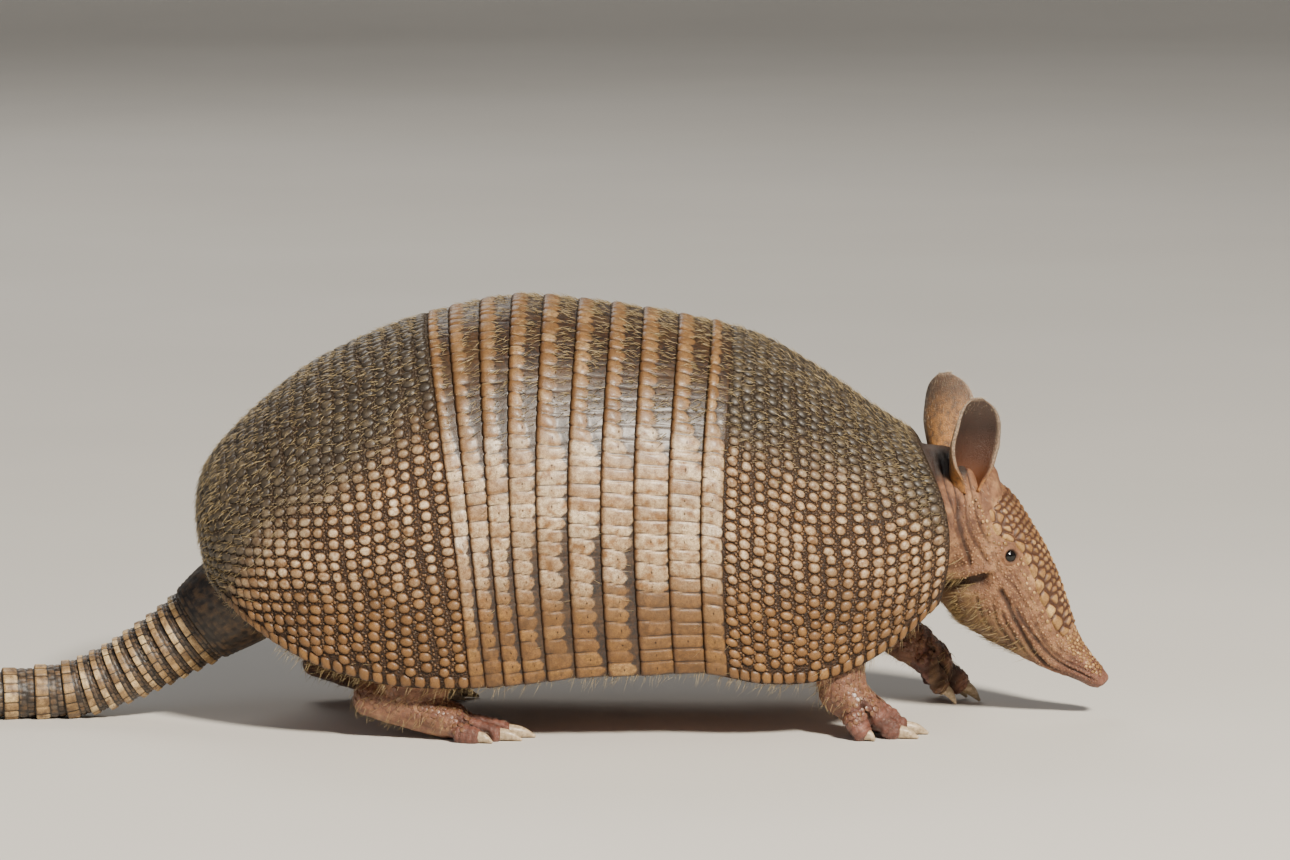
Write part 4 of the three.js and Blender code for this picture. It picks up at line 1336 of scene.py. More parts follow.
HIND = {
    "upper": [[-62, 34, 58, 17, 26], [-52, 42, 40, 15, 19], [-55, 47, 28, 11, 13], [-68, 48, 20, 8, 9]],
    "paw": [[-80, 48, 17.5, 6.5, 7], [-62, 48, 13, 8, 8], [-46, 48.5, 8, 11, 6.8]],
    "toes": [[[-44, 58.5, 5, 3.8, 4], [-38, 60.5, 3.8, 3.3, 3.6]],
             [[-42, 54, 6, 4.2, 4.6], [-30, 55.5, 4, 3.6, 3.9]],
             [[-41, 48.5, 6.2, 4.4, 4.8], [-27, 48.5, 4.2, 3.8, 4.1]],
             [[-42, 43, 6, 4.2, 4.6], [-30, 41.5, 4, 3.6, 3.9]],
             [[-45, 38.5, 5, 3.8, 4], [-38, 36.5, 3.8, 3.3, 3.6]]],
    "claws": [7, 10, 12, 10, 7],
}
LEGS = {
    "foreleg_right": leg_of(
        -1, [[98, 34, 56, 13, 17], [100, 41, 35, 11, 13], [103, 44, 22, 9, 9.5]],
        [[102, 44, 20, 8.5, 9], [109, 45, 14, 10, 8], [115, 45, 11, 9.5, 6]],
        [[[107, 53.5, 10, 4, 4], [111, 55.5, 4.1, 3.5, 3.7]],
         [[113, 49, 12.5, 4.5, 4.8], [123, 50.5, 4.3, 3.8, 4]],
         [[115, 42, 12.5, 4.5, 4.8], [126, 41.5, 4.4, 3.8, 4]],
         [[111, 36.5, 10, 4, 4], [118, 34, 4, 3.3, 3.6]]], [8, 12, 13, 9]),
    "foreleg_left": leg_of(
        1, [[106, 34, 55, 13, 17], [115, 40, 39, 11, 13], [126, 43, 30, 9, 9.5]],
        [[125, 43, 30, 8.5, 9], [134, 43, 24, 10, 8.5], [140, 43, 19, 9.5, 7]],
        [[[135, 51.5, 20, 4, 4], [141, 53, 9, 3.4, 3.6]],
         [[139, 46.5, 21, 4.8, 5], [148, 47, 8.5, 4, 4.2]],
         [[142, 40, 21, 4.8, 5], [152, 39, 8.5, 4, 4.2]],
         [[138, 34.5, 19, 4, 4], [145, 33, 8, 3.3, 3.5]]], [10, 12.5, 13, 10]),
    "hindleg_right": leg_of(-1, **HIND),
    "hindleg_left": leg_of(1, **HIND, behind=LEFT_HIND_BEHIND),
}

# %% Ears
EAR_LENGTH, EAR_TUBE, EAR_CUP = 37, 6, 13
EAR_SHAPE = [[0, EAR_TUBE, 150], [0.14, EAR_TUBE + 1, 128], [0.32, EAR_TUBE + 4, 88],
             [0.52, EAR_CUP, 66], [0.75, EAR_CUP, 56], [0.9, EAR_CUP, 37], [1, EAR_CUP, 10]]
EARS = {"ear_right": (-1, on_head(-11, -66, -4), (0.13, -0.2, 0.95), (0.6, -0.8, 0)),
        "ear_left": (1, on_head(-15.5, 60, -3), (0, 0.24, 0.97), (0.55, 0.83, 0))}


def ear_place(name, f, across, out):
    """A point of an ear: share of its length, -1 to 1 across its rolled width, millimetres out."""
    side, root, tilt, facing = EARS[name]
    up = unit(np.array(tilt))
    opening = np.array(facing) - up * np.dot(facing, up)
    opening = unit(opening)
    sideways = np.cross(up, opening) * side
    radius, half = np.moveaxis(between(EAR_SHAPE, f), -1, 0)
    a = np.radians(half) * across
    x = radius - (radius + out) * np.cos(a) + 5 * f * f
    y = (radius + out) * np.sin(a)
    return root + x[..., None] * opening + y[..., None] * sideways + (EAR_LENGTH * f)[..., None] * up


def ear_mesh(name):
    def layer(out):
        return lambda u, v: ear_place(name, u, 2 * v - 1, out * (1 - 0.45 * smooth(0.75, 1.0, u)))
    return plate_mesh(44, 50, layer(0.25), layer(-1.1), name)


# %% Head, trunk and ear sockets
def head_mesh():
    def place(along, turn):
        at = np.interp(along, [0, 0.06, 0.95, 1], [-15.5, -15, 90.5, 91.8])
        shrink = np.sqrt(np.clip(np.minimum(along / 0.06, (1 - along) / 0.05), 0, 1))
        inside = np.clip(at, HEAD[0][0], HEAD[-1][0])
        points = on_head(inside, turn * 360)
        middle = (on_head(inside, 0) + on_head(inside, 180)) / 2
        beyond = (at - inside)[:, None] * HEAD_FORWARD
        return middle + (points - middle) * shrink[:, None] + beyond
    return closed_tube(96, 130, place, "head_body")[0]


TRUNK_STARTS, TRUNK_ENDS = 6, SHELL_END - 20
UNDER_SHELL, BELLY_SAG = -4.3, 4.0
BACK_SHARE = 0.75  # the share of the trunk's turn that follows the shell; the rest is the belly


def trunk_mesh():
    def place(along, turn):
        at = TRUNK_STARTS + along * (TRUNK_ENDS - TRUNK_STARTS)
        share = np.where(turn < BACK_SHARE, turn / BACK_SHARE * 2 - 1, 0)
        upper, top, left, right = [vault(at, s, UNDER_SHELL) / MM for s in (share, 0.0, 1.0, -1.0)]
        f = (1 - np.cos(np.pi * (turn - BACK_SHARE) / (1 - BACK_SHARE))) / 2
        lower = left + (right - left) * f[:, None]
        lower[:, 2] -= BELLY_SAG * np.sin(np.pi * f)
        points = np.where((turn < BACK_SHARE)[:, None], upper, lower)
        middle = (top + (left + right) / 2) / 2
        shrink = np.sqrt(np.clip(np.minimum(along / 0.03, (1 - along) / 0.03), 0, 1))[:, None]
        return middle + (points - middle) * shrink
    return closed_tube(120, 90, place, "trunk_body")[0]


def ear_collar(name):
    """A short soft socket that the ear grows from."""
    _, root, tilt, _ = EARS[name]
    low, high = root - unit(np.array(tilt)) * 3, root + unit(np.array(tilt)) * 3.5
    return limb_mesh([[*(p - (BODY_X, 0, 0)), r, r] for p, r in ((low, 8.0), (high, 6.6))], 1, 40, 24)


# %% One mesh of all soft bodies
bm = bmesh.new()
soft = [trunk_mesh(), head_mesh(), limb_mesh(NECK, 1, 72, 30, 0.2)]
soft += [ear_collar(name) for name in EARS]
for leg in LEGS.values():
    soft.append(limb_mesh(leg["upper"], leg["side"]))
    soft.append(limb_mesh(leg["paw"], leg["side"]))
    soft += [limb_mesh(toe, leg["side"], 24, 24) for toe in leg["toes"]]
for part in soft:
    bm.from_mesh(part)
    bpy.data.meshes.remove(part)
bmesh.ops.scale(bm, vec=(MM, MM, MM), verts=bm.verts)
raw_skin = mesh_of(bm, "raw_skin")


# %% Melt them into one skin
def with_modifiers(mesh, *steps, weights=None):
    """The mesh that a stack of modifiers makes; weights fill a vertex group called hidden."""
    helper = bpy.data.objects.new("helper", mesh)
    bpy.context.scene.collection.objects.link(helper)
    if weights is not None:
        group = helper.vertex_groups.new(name="hidden")
        for level in (0.0, 1.0):
            chosen = np.flatnonzero(np.abs(weights - level) < 0.5).tolist()
            group.add(chosen, level, "REPLACE")
    for kind, settings in steps:
        modifier = helper.modifiers.new(kind.lower(), kind)
        for key, value in settings.items():
            setattr(modifier, key, value)
    graph = bpy.context.evaluated_depsgraph_get()
    result = bpy.data.meshes.new_from_object(helper.evaluated_get(graph))
    bpy.data.objects.remove(helper)
    return result


VOXEL = 0.0013
skin = with_modifiers(
    raw_skin, ("REMESH", {"mode": "VOXEL", "voxel_size": VOXEL}),
    ("SMOOTH", {"factor": 0.5, "iterations": 5}))
print("skin after remeshing:", len(skin.polygons), "faces")

# %% Thin out what the shell hides
def plain_part(points):
    """Which points in millimetres are plain: inside the shell, or in the middle of the belly."""
    x, y, z = points.T
    inside_ends = (x > BODY_X - 138) & (x < BODY_X + 118)
    floor = np.interp(x - BODY_X, [-145, -116, -68, -39, 26, 73, 97, 121, 141],
                      [64, 38, 22, 21.8, 26.5, 23, 24, 34.5, 50])
    belly = (np.abs(y) < 30) & (z > 17) & (x > BODY_X - 130) & (x < BODY_X + 88)
    belly |= (np.abs(y) < 58) & (z > 17) & (x > BODY_X - 20) & (x < BODY_X + 78)
    at, degrees = head_measures(points)
    forehead = (at > 6) & (at < 62) & (np.abs(degrees) < 58)
    return (inside_ends & (z > floor + 9)) | belly | forehead


points = arrays_of(skin)[0] / MM
hidden = plain_part(points).astype(float)
kept = 1 - 0.93 * hidden.mean()
skin = with_modifiers(skin, ("DECIMATE", {"ratio": kept, "vertex_group": "hidden"}), weights=hidden)
count_triangles("skin after thinning", skin)

# %% [markdown]
# The face and the toes need finer faces than the rest, so their edges are cut once more and relaxed.
# Folds are lines on the head, given by how far along and how many degrees round they run. Near each
# line the skin is pressed in, and beside it raised a little. The same closeness is stored as a value
# called "crease", so the material can darken the fold: painted shade, partly dirt.

# %% Finer faces on the face and the toes
def toe_measures(points):
    """Distance to the nearest toe's line and to the second nearest, and how far along the toe."""
    found = np.full((2, len(points)), 1e9)
    along = np.zeros(len(points))
    for leg in LEGS.values():
        wrist = np.array(leg["paw"][0][:3], float)
        for start, end in leg["toes"]:
            root = wrist + (0, 0.3 * (start[1] - wrist[1]), 1.0)
            line = np.array([root, start[:3], end[:3]], float) * (1, leg["side"], 1) + (BODY_X, 0, 0)
            best, place = np.full(len(points), 1e9), np.zeros(len(points))
            for a, b, base in ((line[0], line[1], -1), (line[1], line[2], 0)):
                step = b - a
                t = (points - a) @ step / (step @ step)
                reach = np.clip(t, 0, 1 if base else 1.5)
                distance = np.linalg.norm(points - a - reach[:, None] * step, axis=1)
                place = np.where(distance < best, (base + t) * np.linalg.norm(step), place)
                best = np.minimum(best, distance)
            along = np.where(best < found[0], place, along)
            found = np.sort(np.vstack([found, best]), axis=0)[:2]
    return found[0], found[1], along


def finer_face(mesh):
    bm = bmesh.new()
    bm.from_mesh(mesh)
    places = np.array([vert.co[:] for vert in bm.verts]) / MM
    at, degrees = head_measures(places)
    x, y, z = places.T
    face = ((at > -10) & (at < 94) & (np.abs(degrees) > 62) & (x > BODY_X + 148)) | (
        (x > BODY_X + 134) & (z > 50) & (np.abs(y) > 16)) | ((at > 64) & (at < 94))
    face |= (toe_measures(places)[0] < 7) & (z < 26)
    chosen = [edge for edge in bm.edges if face[edge.verts[0].index] and face[edge.verts[1].index]]
    bmesh.ops.subdivide_edges(bm, edges=chosen, cuts=1, use_grid_fill=True)
    bm.verts.ensure_lookup_table()
    near = [vert for vert in bm.verts if vert.index < 0 or vert.index >= len(face) or face[vert.index]]
    for _ in range(2):
        bmesh.ops.smooth_vert(bm, verts=near, factor=0.5, use_axis_x=True, use_axis_y=True,
                              use_axis_z=True)
    name = mesh.name
    bpy.data.meshes.remove(mesh)
    return mesh_of(bm, name)


skin = finer_face(skin)
count_triangles("skin with a finer face", skin)

# %% Lids and folds
EYE = {"along": 24, "round": 77, "radius": 3, "sunk": 2.1}
# Folds of the face: width and depth in millimetres, then places along and degrees round.
FOLDS = [
    (0.75, 1.0, [(30, 101), (35, 102), (42, 104), (51.5, 111), (60, 124), (67, 134), (76, 146),
                 (84, 150)]),
    (0.65, 0.8, [(37, 97), (48, 101), (62, 109), (73, 114), (83, 108), (89, 100)]),
    (0.6, 0.6, [(50, 92), (57, 97), (63, 102), (72, 103), (80, 92), (87, 84)]),
    (0.55, 0.45, [(64, 92), (72, 90), (80, 80), (87, 70)]),
    (0.55, 0.5, [(40, 112), (48, 119), (56, 130), (63, 143)]),
    (0.6, 0.5, [(33, 112), (42, 122), (52, 136), (60, 150)]),
    (0.6, 0.45, [(28, 122), (38, 132), (48, 146)]),
    (0.6, 0.7, [(-4, 70), (2, 81), (10, 87), (17, 89)]),
    (0.6, 0.6, [(-6, 78), (0, 89), (8, 95), (17, 97), (24, 97)]),
    (0.7, 0.8, [(-10, 82), (-3, 92), (6, 100), (15, 108), (20, 115)]),
    (0.6, 0.5, [(-2, 97), (8, 104), (16, 112)]),
    (0.5, 0.35, [(20, 92), (27, 93), (34, 90), (42, 90), (50, 87)]),
    (0.5, 0.3, [(30, 85), (38, 83), (47, 80)]),
]


def distance_to_line(points, line):
    """Distance from flat points to a bent line of flat points, and how far along it they are."""
    best = np.full(len(points), 1e9)
    share = np.zeros(len(points))
    for i, (a, b) in enumerate(zip(line[:-1], line[1:])):
        step = b - a
        t = np.clip(((points - a) @ step) / (step @ step), 0, 1)
        distance = np.linalg.norm(points - a - t[:, None] * step, axis=1)
        share = np.where(distance < best, (i + t) / (len(line) - 1), share)
        best = np.minimum(best, distance)
    return best, share


def fold_amount(points):
    """How deep the face's folds are at points in millimetres, and how raised their sides."""
    at, degrees = head_measures(points)
    nearby = (at > -16) & (at < 94)
    flat = head_plane(np.clip(at, -15, 90.5), np.abs(degrees))
    wave = wobble(points, 9, 21) * 0.5
    deep, raised = np.zeros(len(points)), np.zeros(len(points))
    for width, depth, line in FOLDS:
        line = np.array([head_plane(np.array(a, float), np.array(d, float)) for a, d in line])
        fine = curve(np.column_stack([line, np.zeros(len(line))]), np.linspace(0, 1, 25))[:, :2]
        distance, share = distance_to_line(flat + wave[:, None] * 0.6, fine)
        fade = smooth(0, 0.15, share) * smooth(0, 0.15, 1 - share) * nearby
        deep = np.maximum(deep, fade * depth * np.exp(-(distance / width) ** 2))
        raised = np.maximum(raised, fade * depth * 0.5 * np.exp(-((distance - 2.2 * width) / width) ** 2))
    return deep, raised


def eye_spot(side, out=0.0):
    return on_head(EYE["along"], side * EYE["round"], out)


def from_eyes(points):
    """Distance in millimetres to the nearer eye."""
    return np.min([np.linalg.norm(points - eye_spot(side), axis=1) for side in (-1, 1)], axis=0)


def eye_shape(points):
    """Lids round each eye: the push along the skin's normal, and how dark the rim is."""
    push, rim = np.zeros(len(points)), np.zeros(len(points))
    for side in (-1, 1):
        spot = eye_spot(side)
        axis = unit(spot - eye_spot(side, -10))
        offset = points - spot
        above = offset @ axis
        flat = offset - above[:, None] * axis
        ring = np.linalg.norm(flat, axis=1)
        near = np.abs(above) < 6
        # the lid, then a crease, a soft swelling and a second crease round it
        waves = [height * np.exp(-((ring - radius) / width) ** 2) for height, radius, width in
                 ((0.8, 2.9, 0.75), (-0.35, 4.1, 0.4), (0.25, 5.0, 0.6), (-0.25, 6.0, 0.45))]
        push += near * (waves[0] - 1.7 * (1 - smooth(1.5, 2.2, ring)) + waves[1] + waves[2] + waves[3])
        rim = np.maximum(rim, near * (1 - smooth(2.0, 3.4, ring)))
    return push, rim


def neck_folds(points):
    """Upright folds between the shell and the head, and the loose flap over the throat."""
    x, y, z = points[:, 0] - BODY_X, points[:, 1], points[:, 2]
    at, _ = head_measures(points)
    zone = smooth(126, 133, x) * (1 - smooth(-10, 4, at)) * smooth(52, 60, z) * smooth(5, 13, np.abs(y))
    phase = (x + 0.28 * z + 0.9 * wobble(points, 14, 31)) / 3.1
    wave = np.abs((phase % 1) * 2 - 1)
    deep = zone * (0.65 + 0.6 * (wobble(points, 16, 33) + 1) / 2) * np.exp(-((1 - wave) / 0.24) ** 2)
    edge = z - (57.5 + 0.18 * (x - 147)) - 0.8 * wobble(points, 5, 35)
    span = smooth(134, 141, x) * (1 - smooth(158, 164, x)) * smooth(8, 14, np.abs(y))
    flap = span * (1.5 * np.exp(-((edge - 1.6) / 1.8) ** 2)
                   - 3.0 * smooth(-9, -2, edge) * (1 - smooth(-1.0, 0.3, edge)))
    # The hollow under the flap is darkened through the crease value: a painted shadow of the flap.
    hollow = span * smooth(-9, -2, edge) * (1 - smooth(-0.6, 0.4, edge))
    return deep, flap, hollow


def nose_shape(points):
    """Two nostrils at the tip and a shallow groove between them."""
    tip = on_head(90.5, 0) * 0.4 + on_head(90.5, 180) * 0.6 + HEAD_FORWARD * 1.0
    push, dark = np.zeros(len(points)), np.zeros(len(points))
    for side in (-1, 1):
        spot = tip + HEAD_LEFT * side * 2.6 + HEAD_UP * 1.2
        distance = np.linalg.norm(points - spot, axis=1)
        push -= 1.3 * np.exp(-(distance / 1.25) ** 2)
        push += 0.35 * np.exp(-((distance - 2.4) / 0.7) ** 2)
        dark = np.maximum(dark, np.exp(-(distance / 1.3) ** 2))
    return push, dark


points, normals = arrays_of(skin)[0] / MM, np.empty(len(skin.vertices) * 3)
skin.vertices.foreach_get("normal", normals)
normals = normals.reshape(-1, 3)
deep, raised = fold_amount(points)
lid, rim = eye_shape(points)
neck_deep, flap, hollow = neck_folds(points)
nose, nostril = nose_shape(points)
at, degrees = head_measures(points)
on_face = (at > -16) & (points[:, 0] > BODY_X + 140)
away = smooth(2.5, 4.5, from_eyes(points))
grain = 0.14 * wobble(points, 1.9, 41) + 0.2 * wobble(points, 5.0, 42)
push = (raised - deep) * away + lid - neck_deep + flap + nose + grain * away
points = points + normals * push[:, None]

# %% Creases of the legs and toes
TOE_CREASE_STEP, LEG_CREASE_STEP, TOE_GAP_DEPTH, PAW_PLUMP = 2.6, 3.1, 1.5, 0.35
toe_near, toe_next, toe_along = toe_measures(points)
on_toe = (1 - smooth(6.0, 8.5, toe_near)) * (toe_along > -3)
on_paw = 1 - smooth(7.0, 10.0, toe_near)
low = (1 - smooth(28, 44, points[:, 2])) * (points[:, 0] < BODY_X + 158)
between_toes = on_paw * smooth(-7, 0, toe_along) * np.exp(-((toe_next - toe_near) / 1.1) ** 2)
toe_crease = on_toe * np.exp(-(((toe_along / TOE_CREASE_STEP) % 1 - 0.5) / 0.16) ** 2) * 0.28
leg_phase = (points[:, 2] + 0.35 * points[:, 0] + 1.2 * wobble(points, 7, 51)) / LEG_CREASE_STEP
leg_crease = low * (1 - on_toe) * np.exp(-((leg_phase % 1 - 0.5) / 0.2) ** 2) * 0.22
pressed = toe_crease + leg_crease * (1 - on_paw) + TOE_GAP_DEPTH * between_toes - PAW_PLUMP * on_paw
points = points - normals * pressed[:, None]
points[:, 2] = np.maximum(points[:, 2], 0.0)
skin.vertices.foreach_set("co", (points * MM).ravel())
skin.update()
SKIN_POINTS, SKIN_NORMALS = points, normals
throat = smooth(112, 135, np.abs(degrees)) * on_face * (1 - smooth(58, 72, at))
throat = np.maximum(throat, (points[:, 0] > BODY_X + 118) * (1 - smooth(50, 60, points[:, 2]))
                    * (points[:, 2] > 40) * (1 - on_face))

# %% Values that the skin's finish reads
SKIN_VALUES = {
    # crease: how much the finish darkens folds, lids, nostrils, hollows and toe gaps: painted shade, partly
    # dirt
    "crease": np.clip(np.maximum.reduce([deep * 1.1, neck_deep * 1.3, rim * 0.9, hollow, nostril,
                                         toe_crease * 1.6, leg_crease * 1.5, between_toes * 0.95]), 0, 1),
    "pink": np.clip(0.8 * on_face * smooth(64, 84, at) + 0.9 * on_toe + 0.45 * low, 0, 1),
    "straw": np.clip(throat, 0, 1),
    "dark": (smooth(94, 100, points[:, 2]) * (points[:, 0] < BODY_X + 152)
             * (points[:, 0] > BODY_X + 118) * (np.abs(points[:, 1]) < 30)),
}

# %% Ears joined on
ear_sides, ear_places = [], []
bm = bmesh.new()
bm.from_mesh(skin)
for name in EARS:
    mesh, flat, side = ear_mesh(name)
    mesh.transform(Matrix.Scale(MM, 4))
    bm.from_mesh(mesh)
    bpy.data.meshes.remove(mesh)
    ear_sides.append(side)
    ear_places.append(flat)
bpy.data.meshes.remove(skin)
skin = mesh_of(bm, "skin")
inside, (height, across) = np.concatenate(ear_sides), np.vstack(ear_places).T
rim = np.maximum(smooth(0.86, 1.0, np.abs(across * 2 - 1)) * smooth(0.15, 0.4, height),
                 smooth(0.95, 1.0, height))
on_ears, on_body = np.zeros(len(inside)), np.zeros(len(SKIN_POINTS))
paint_values(skin, {key: np.concatenate([number, on_ears]) for key, number in SKIN_VALUES.items()})
paint_values(skin, {key: np.concatenate([on_body, number]) for key, number in {
    "ear": on_ears + 1, "inside": inside, "height": height, "rim": rim}.items()})

# %% [markdown]
# The skin is pinkish tan, browner in the folds (painted shade, partly dirt), glossy pink on snout and
# toes, straw-coloured under the throat and nearly black behind the ears. The ears are dark brown inside,
# with amber at the root where light comes through, and pebbled grey-brown outside with a pale rim.

# %% Skin material
def skin_material():
    material, tree, shader = new_material("bare_skin")
    cloud, fine, patches = speckle(tree, 8.0, 4.0), speckle(tree, 0.6, 3.0), speckle(tree, 2.4, 4.0, 0.6)
    net = cracks(tree, 0.62)
    color = ramp(tree, cloud, (0.3, "6b4833"), (0.5, "936849"), (0.7, "ba8e64"))
    color = blend(tree, ramp(tree, patches, (0.45, 0.0), (0.65, 0.7)), color, "5c3a29")
    pinkish = ramp(tree, cloud, (0.35, "5c382d"), (0.6, "87584a"), (0.75, "ad7d69"))
    color = blend(tree, stored(tree, "pink"), color, pinkish)
    strawy = ramp(tree, cloud, (0.35, "5a4029"), (0.65, "8c6f48"))
    color = blend(tree, times(tree, stored(tree, "straw"), 0.8), color, strawy)
    nearly_black = ramp(tree, cloud, (0.4, "1f1814"), (0.65, "3d322c"))
    color = blend(tree, stored(tree, "dark"), color, nearly_black)
    height = stored(tree, "height")
    inside = ramp(tree, height, (0.0, "74431f"), (0.3, "4b2b19"), (0.65, "2a1a13"), (1.0, "3c2e25"))
    through = ramp(tree, height, (0.1, "b67f45"), (0.5, "ad7d4e"), (0.8, "6a5340"))
    outside = blend(tree, ramp(tree, patches, (0.35, 0.25), (0.6, 1.0)), "4e4139", through)
    ear = blend(tree, stored(tree, "inside"), outside, inside)
    grey_rim = ramp(tree, fine, (0.35, "6d5f52"), (0.6, "b39c84"))
    ear = blend(tree, times(tree, stored(tree, "rim"), 0.8), ear, grey_rim)
    color = blend(tree, stored(tree, "ear"), color, ear)
    color = blend(tree, ramp(tree, net, (0.0, 0.4), (0.12, 0.0)), color, "4e3024")
    # Darker in folds, lids, nostrils, the hollow under the flap and between toes: painted shade, partly
    # dirt.
    color = blend(tree, ramp(tree, stored(tree, "crease"), (0.12, 0.0), (0.85, 0.85)), color, "301b12")
    height = reckon(tree, "ADD", reckon(tree, "MINIMUM", net, 0.2), times(tree, fine, 0.35))
    height = reckon(tree, "ADD", height, times(tree, patches, 0.5))
    wet = times(tree, stored(tree, "pink"), 0.2)
    rough = reckon(tree, "SUBTRACT", reckon(tree, "ADD", 0.44, times(tree, fine, 0.2)), wet)
    finish_material(tree, shader, color, rough, bumps(tree, height, 0.5),
                    Subsurface_Weight=0.12, Subsurface_Scale=0.002)
    shader.inputs["Subsurface Radius"].default_value = (1.0, 0.35, 0.2)
    return material


FLESH = ["trunk", "neck", "head", "ear_left", "ear_right", *LEGS]
add_piece(skin, "skin", skin_material(), FLESH)

# %% [markdown]
# The cheeks, the snout's sides and the paws are covered with flat scales. They are spread over the
# skin's own points so that no two come closer than a set gap, and they keep out of the folds and
# the lids.

# %% Scales of the cheek
def spaced(points, gaps, seed):
    """Indices of points that keep their own gap from one another."""
    tree = kdtree.KDTree(len(points))
    for i, point in enumerate(points):
        tree.insert(point, i)
    tree.balance()
    free, chosen = np.ones(len(points), bool), []
    for i in np.random.default_rng(seed).permutation(len(points)):
        if free[i]:
            chosen.append(i)
            free[[index for _, index, _ in tree.find_range(points[i], gaps[i])]] = False
    return np.array(chosen)


def cheek_scales():
    maker = np.random.default_rng(91)
    at, degrees = head_measures(SKIN_POINTS)
    turn = np.abs(degrees)
    edge = np.where(at < 66, between(HEAD_SHIELD, np.clip(at, 3, 66))[:, 0], 60)
    foot = ((on_paw > 0.5) & (toe_along < 2.5) & (SKIN_POINTS[:, 2] > 4) & (SKIN_VALUES["crease"] < 0.3)
            & (SKIN_NORMALS[:, 2] > -0.2))
    zone = ((at > -4) & (at < 88) & (turn > edge + 1) & (turn < 150) & (SKIN_POINTS[:, 0] > BODY_X + 147)
            & (SKIN_VALUES["crease"] < 0.22) & (SKIN_VALUES["straw"] < 0.55) & (away > 0.9))
    where = np.nonzero(zone | foot)[0]
    paw = foot[where] * 1.0
    near_shield = (1 - smooth(2, 14, turn[where] - edge[where])) * (1 - paw)
    gap = np.where(paw, 2.0, 1.3 + 0.9 * near_shield - 0.3 * smooth(55, 80, at[where]))
    pick = spaced(SKIN_POINTS[where], gap, 92)
    gap, near_shield, paw, where = gap[pick], near_shield[pick], paw[pick], where[pick]
    out = unit(SKIN_NORMALS[where])
    forward = unit(HEAD_FORWARD - out * (out @ HEAD_FORWARD)[:, None])
    size = gap * maker.uniform(0.36, 0.46, len(gap)) * (1 + 0.5 * paw)
    axes = np.stack([forward * size[:, None] * 1.15, np.cross(out, forward) * size[:, None],
                     out * (0.24 + 0.25 * near_shield - 0.1 * paw)[:, None]], axis=-1)
    mesh, shape_points = stamp("cheek_scales", SCALE_SHAPE, (SKIN_POINTS[where] - out * 0.05) * MM,
                               axes * MM)
    count, per = len(where), len(shape_points)
    paint_values(mesh, {"rise": np.tile(np.clip(shape_points[:, 2], 0, 1), count),
                        "tone": np.repeat(maker.uniform(0, 1, count) * (1 - 0.7 * paw), per),
                        "horny": np.repeat(near_shield, per),
                        "pink": np.repeat(np.maximum(SKIN_VALUES["pink"][where], paw), per)})
    face_uv = np.stack([(at[where] + 15) / 220, (degrees[where] + 180) / 360], axis=-1)
    x, y = SKIN_POINTS[where, 0], SKIN_POINTS[where, 1]
    foot_uv = np.stack([0.52 + 0.46 * (x - BODY_X + 90) / 250, (y + 80) / 160], axis=-1)
    uv = np.where(paw[:, None] > 0, foot_uv, face_uv)
    lay_uv(mesh, np.clip(np.repeat(uv, per, axis=0) * 0.98 + 0.01
                         + np.tile(shape_points[:, :2] * 0.003, (count, 1)), 0, 1))
    print("cheek scales:", count)
    return mesh


def cheek_material():
    material, tree, shader = new_material("cheek_scale_skin")
    rise, tone = stored(tree, "rise", "tone")
    soft = ramp(tree, tone, (0.0, "866042"), (0.5, "9b7351"), (1.0, "b08862"))
    horny = ramp(tree, tone, (0.0, "93703f"), (0.5, "ab8652"), (1.0, "c5a270"))
    high = blend(tree, stored(tree, "horny"), soft, horny)
    high = blend(tree, times(tree, stored(tree, "pink"), 0.9), high, "7d5446")
    color, grain = worn_and_shaded_horn(tree, "6f4c36", high, "85603f", rise, tone, 2.0)
    finish_material(tree, shader, color, 0.33, bumps(tree, grain, 0.06), Specular_IOR_Level=0.55)
    return material


add_piece(cheek_scales(), "cheek_scales", cheek_material())

# %% [markdown]
# ## Eyes and claws
# The eyes are small black beads under the lids. The claws are curved horn, streaked pale and dark,
# one piece for each foot.

# %% Eyes and claws
def horn_material(name, pale, dark, rough):
    material, tree, shader = new_material(name)
    streak = speckle(tree, 1.2, 4.0)
    color = ramp(tree, streak, (0.3, dark), (0.7, pale))
    finish_material(tree, shader, color, rough, bumps(tree, streak, 0.15))
    return material


EYE_GLOSS = horn_material("wet_eye", "14100e", "080606", 0.06)
CLAW_HORN = horn_material("claw_horn", "cbb596", "8f7a5e", 0.36)
for side, name in ((-1, "eye_right"), (1, "eye_left")):
    bm = bmesh.new()
    bmesh.ops.create_uvsphere(bm, u_segments=32, v_segments=20, radius=EYE["radius"] * MM)
    centre = eye_spot(side, -EYE["sunk"]) * MM
    bmesh.ops.translate(bm, verts=bm.verts, vec=centre)
    add_piece(mesh_of(bm, name + "_ball"), name + "_ball", EYE_GLOSS, [name])


def claw_joints(toe, length):
    (x0, y0, z0, *_), (x1, y1, z1, w, *_) = toe
    dx, dy, dz = x1 - x0, y1 - y0, z1 - z0
    run = length / math.hypot(dx, dy, dz)
    return [[x1, y1, z1 + 0.3, 0.62 * w, 0.72 * w],
            [x1 + dx * run * 0.55, y1 + dy * run * 0.55, z1 + 0.2 + (1.6 - z1) * 0.45, 0.5 * w, 0.55 * w],
            [x1 + dx * run, y1 + dy * run, 0.7, 0.55, 0.6]]


for name, leg in LEGS.items():
    bm = bmesh.new()
    for toe, length in zip(leg["toes"], leg["claws"]):
        claw = limb_mesh(claw_joints(toe, length), leg["side"], 20, 24)
        bm.from_mesh(claw)
        bpy.data.meshes.remove(claw)
    bmesh.ops.scale(bm, vec=(MM, MM, MM), verts=bm.verts)
    nodes = [f"{name}_claw_{i + 1}" for i in range(len(leg["claws"]))]
    add_piece(mesh_of(bm, name + "_claws"), name + "_claws", CLAW_HORN, nodes)

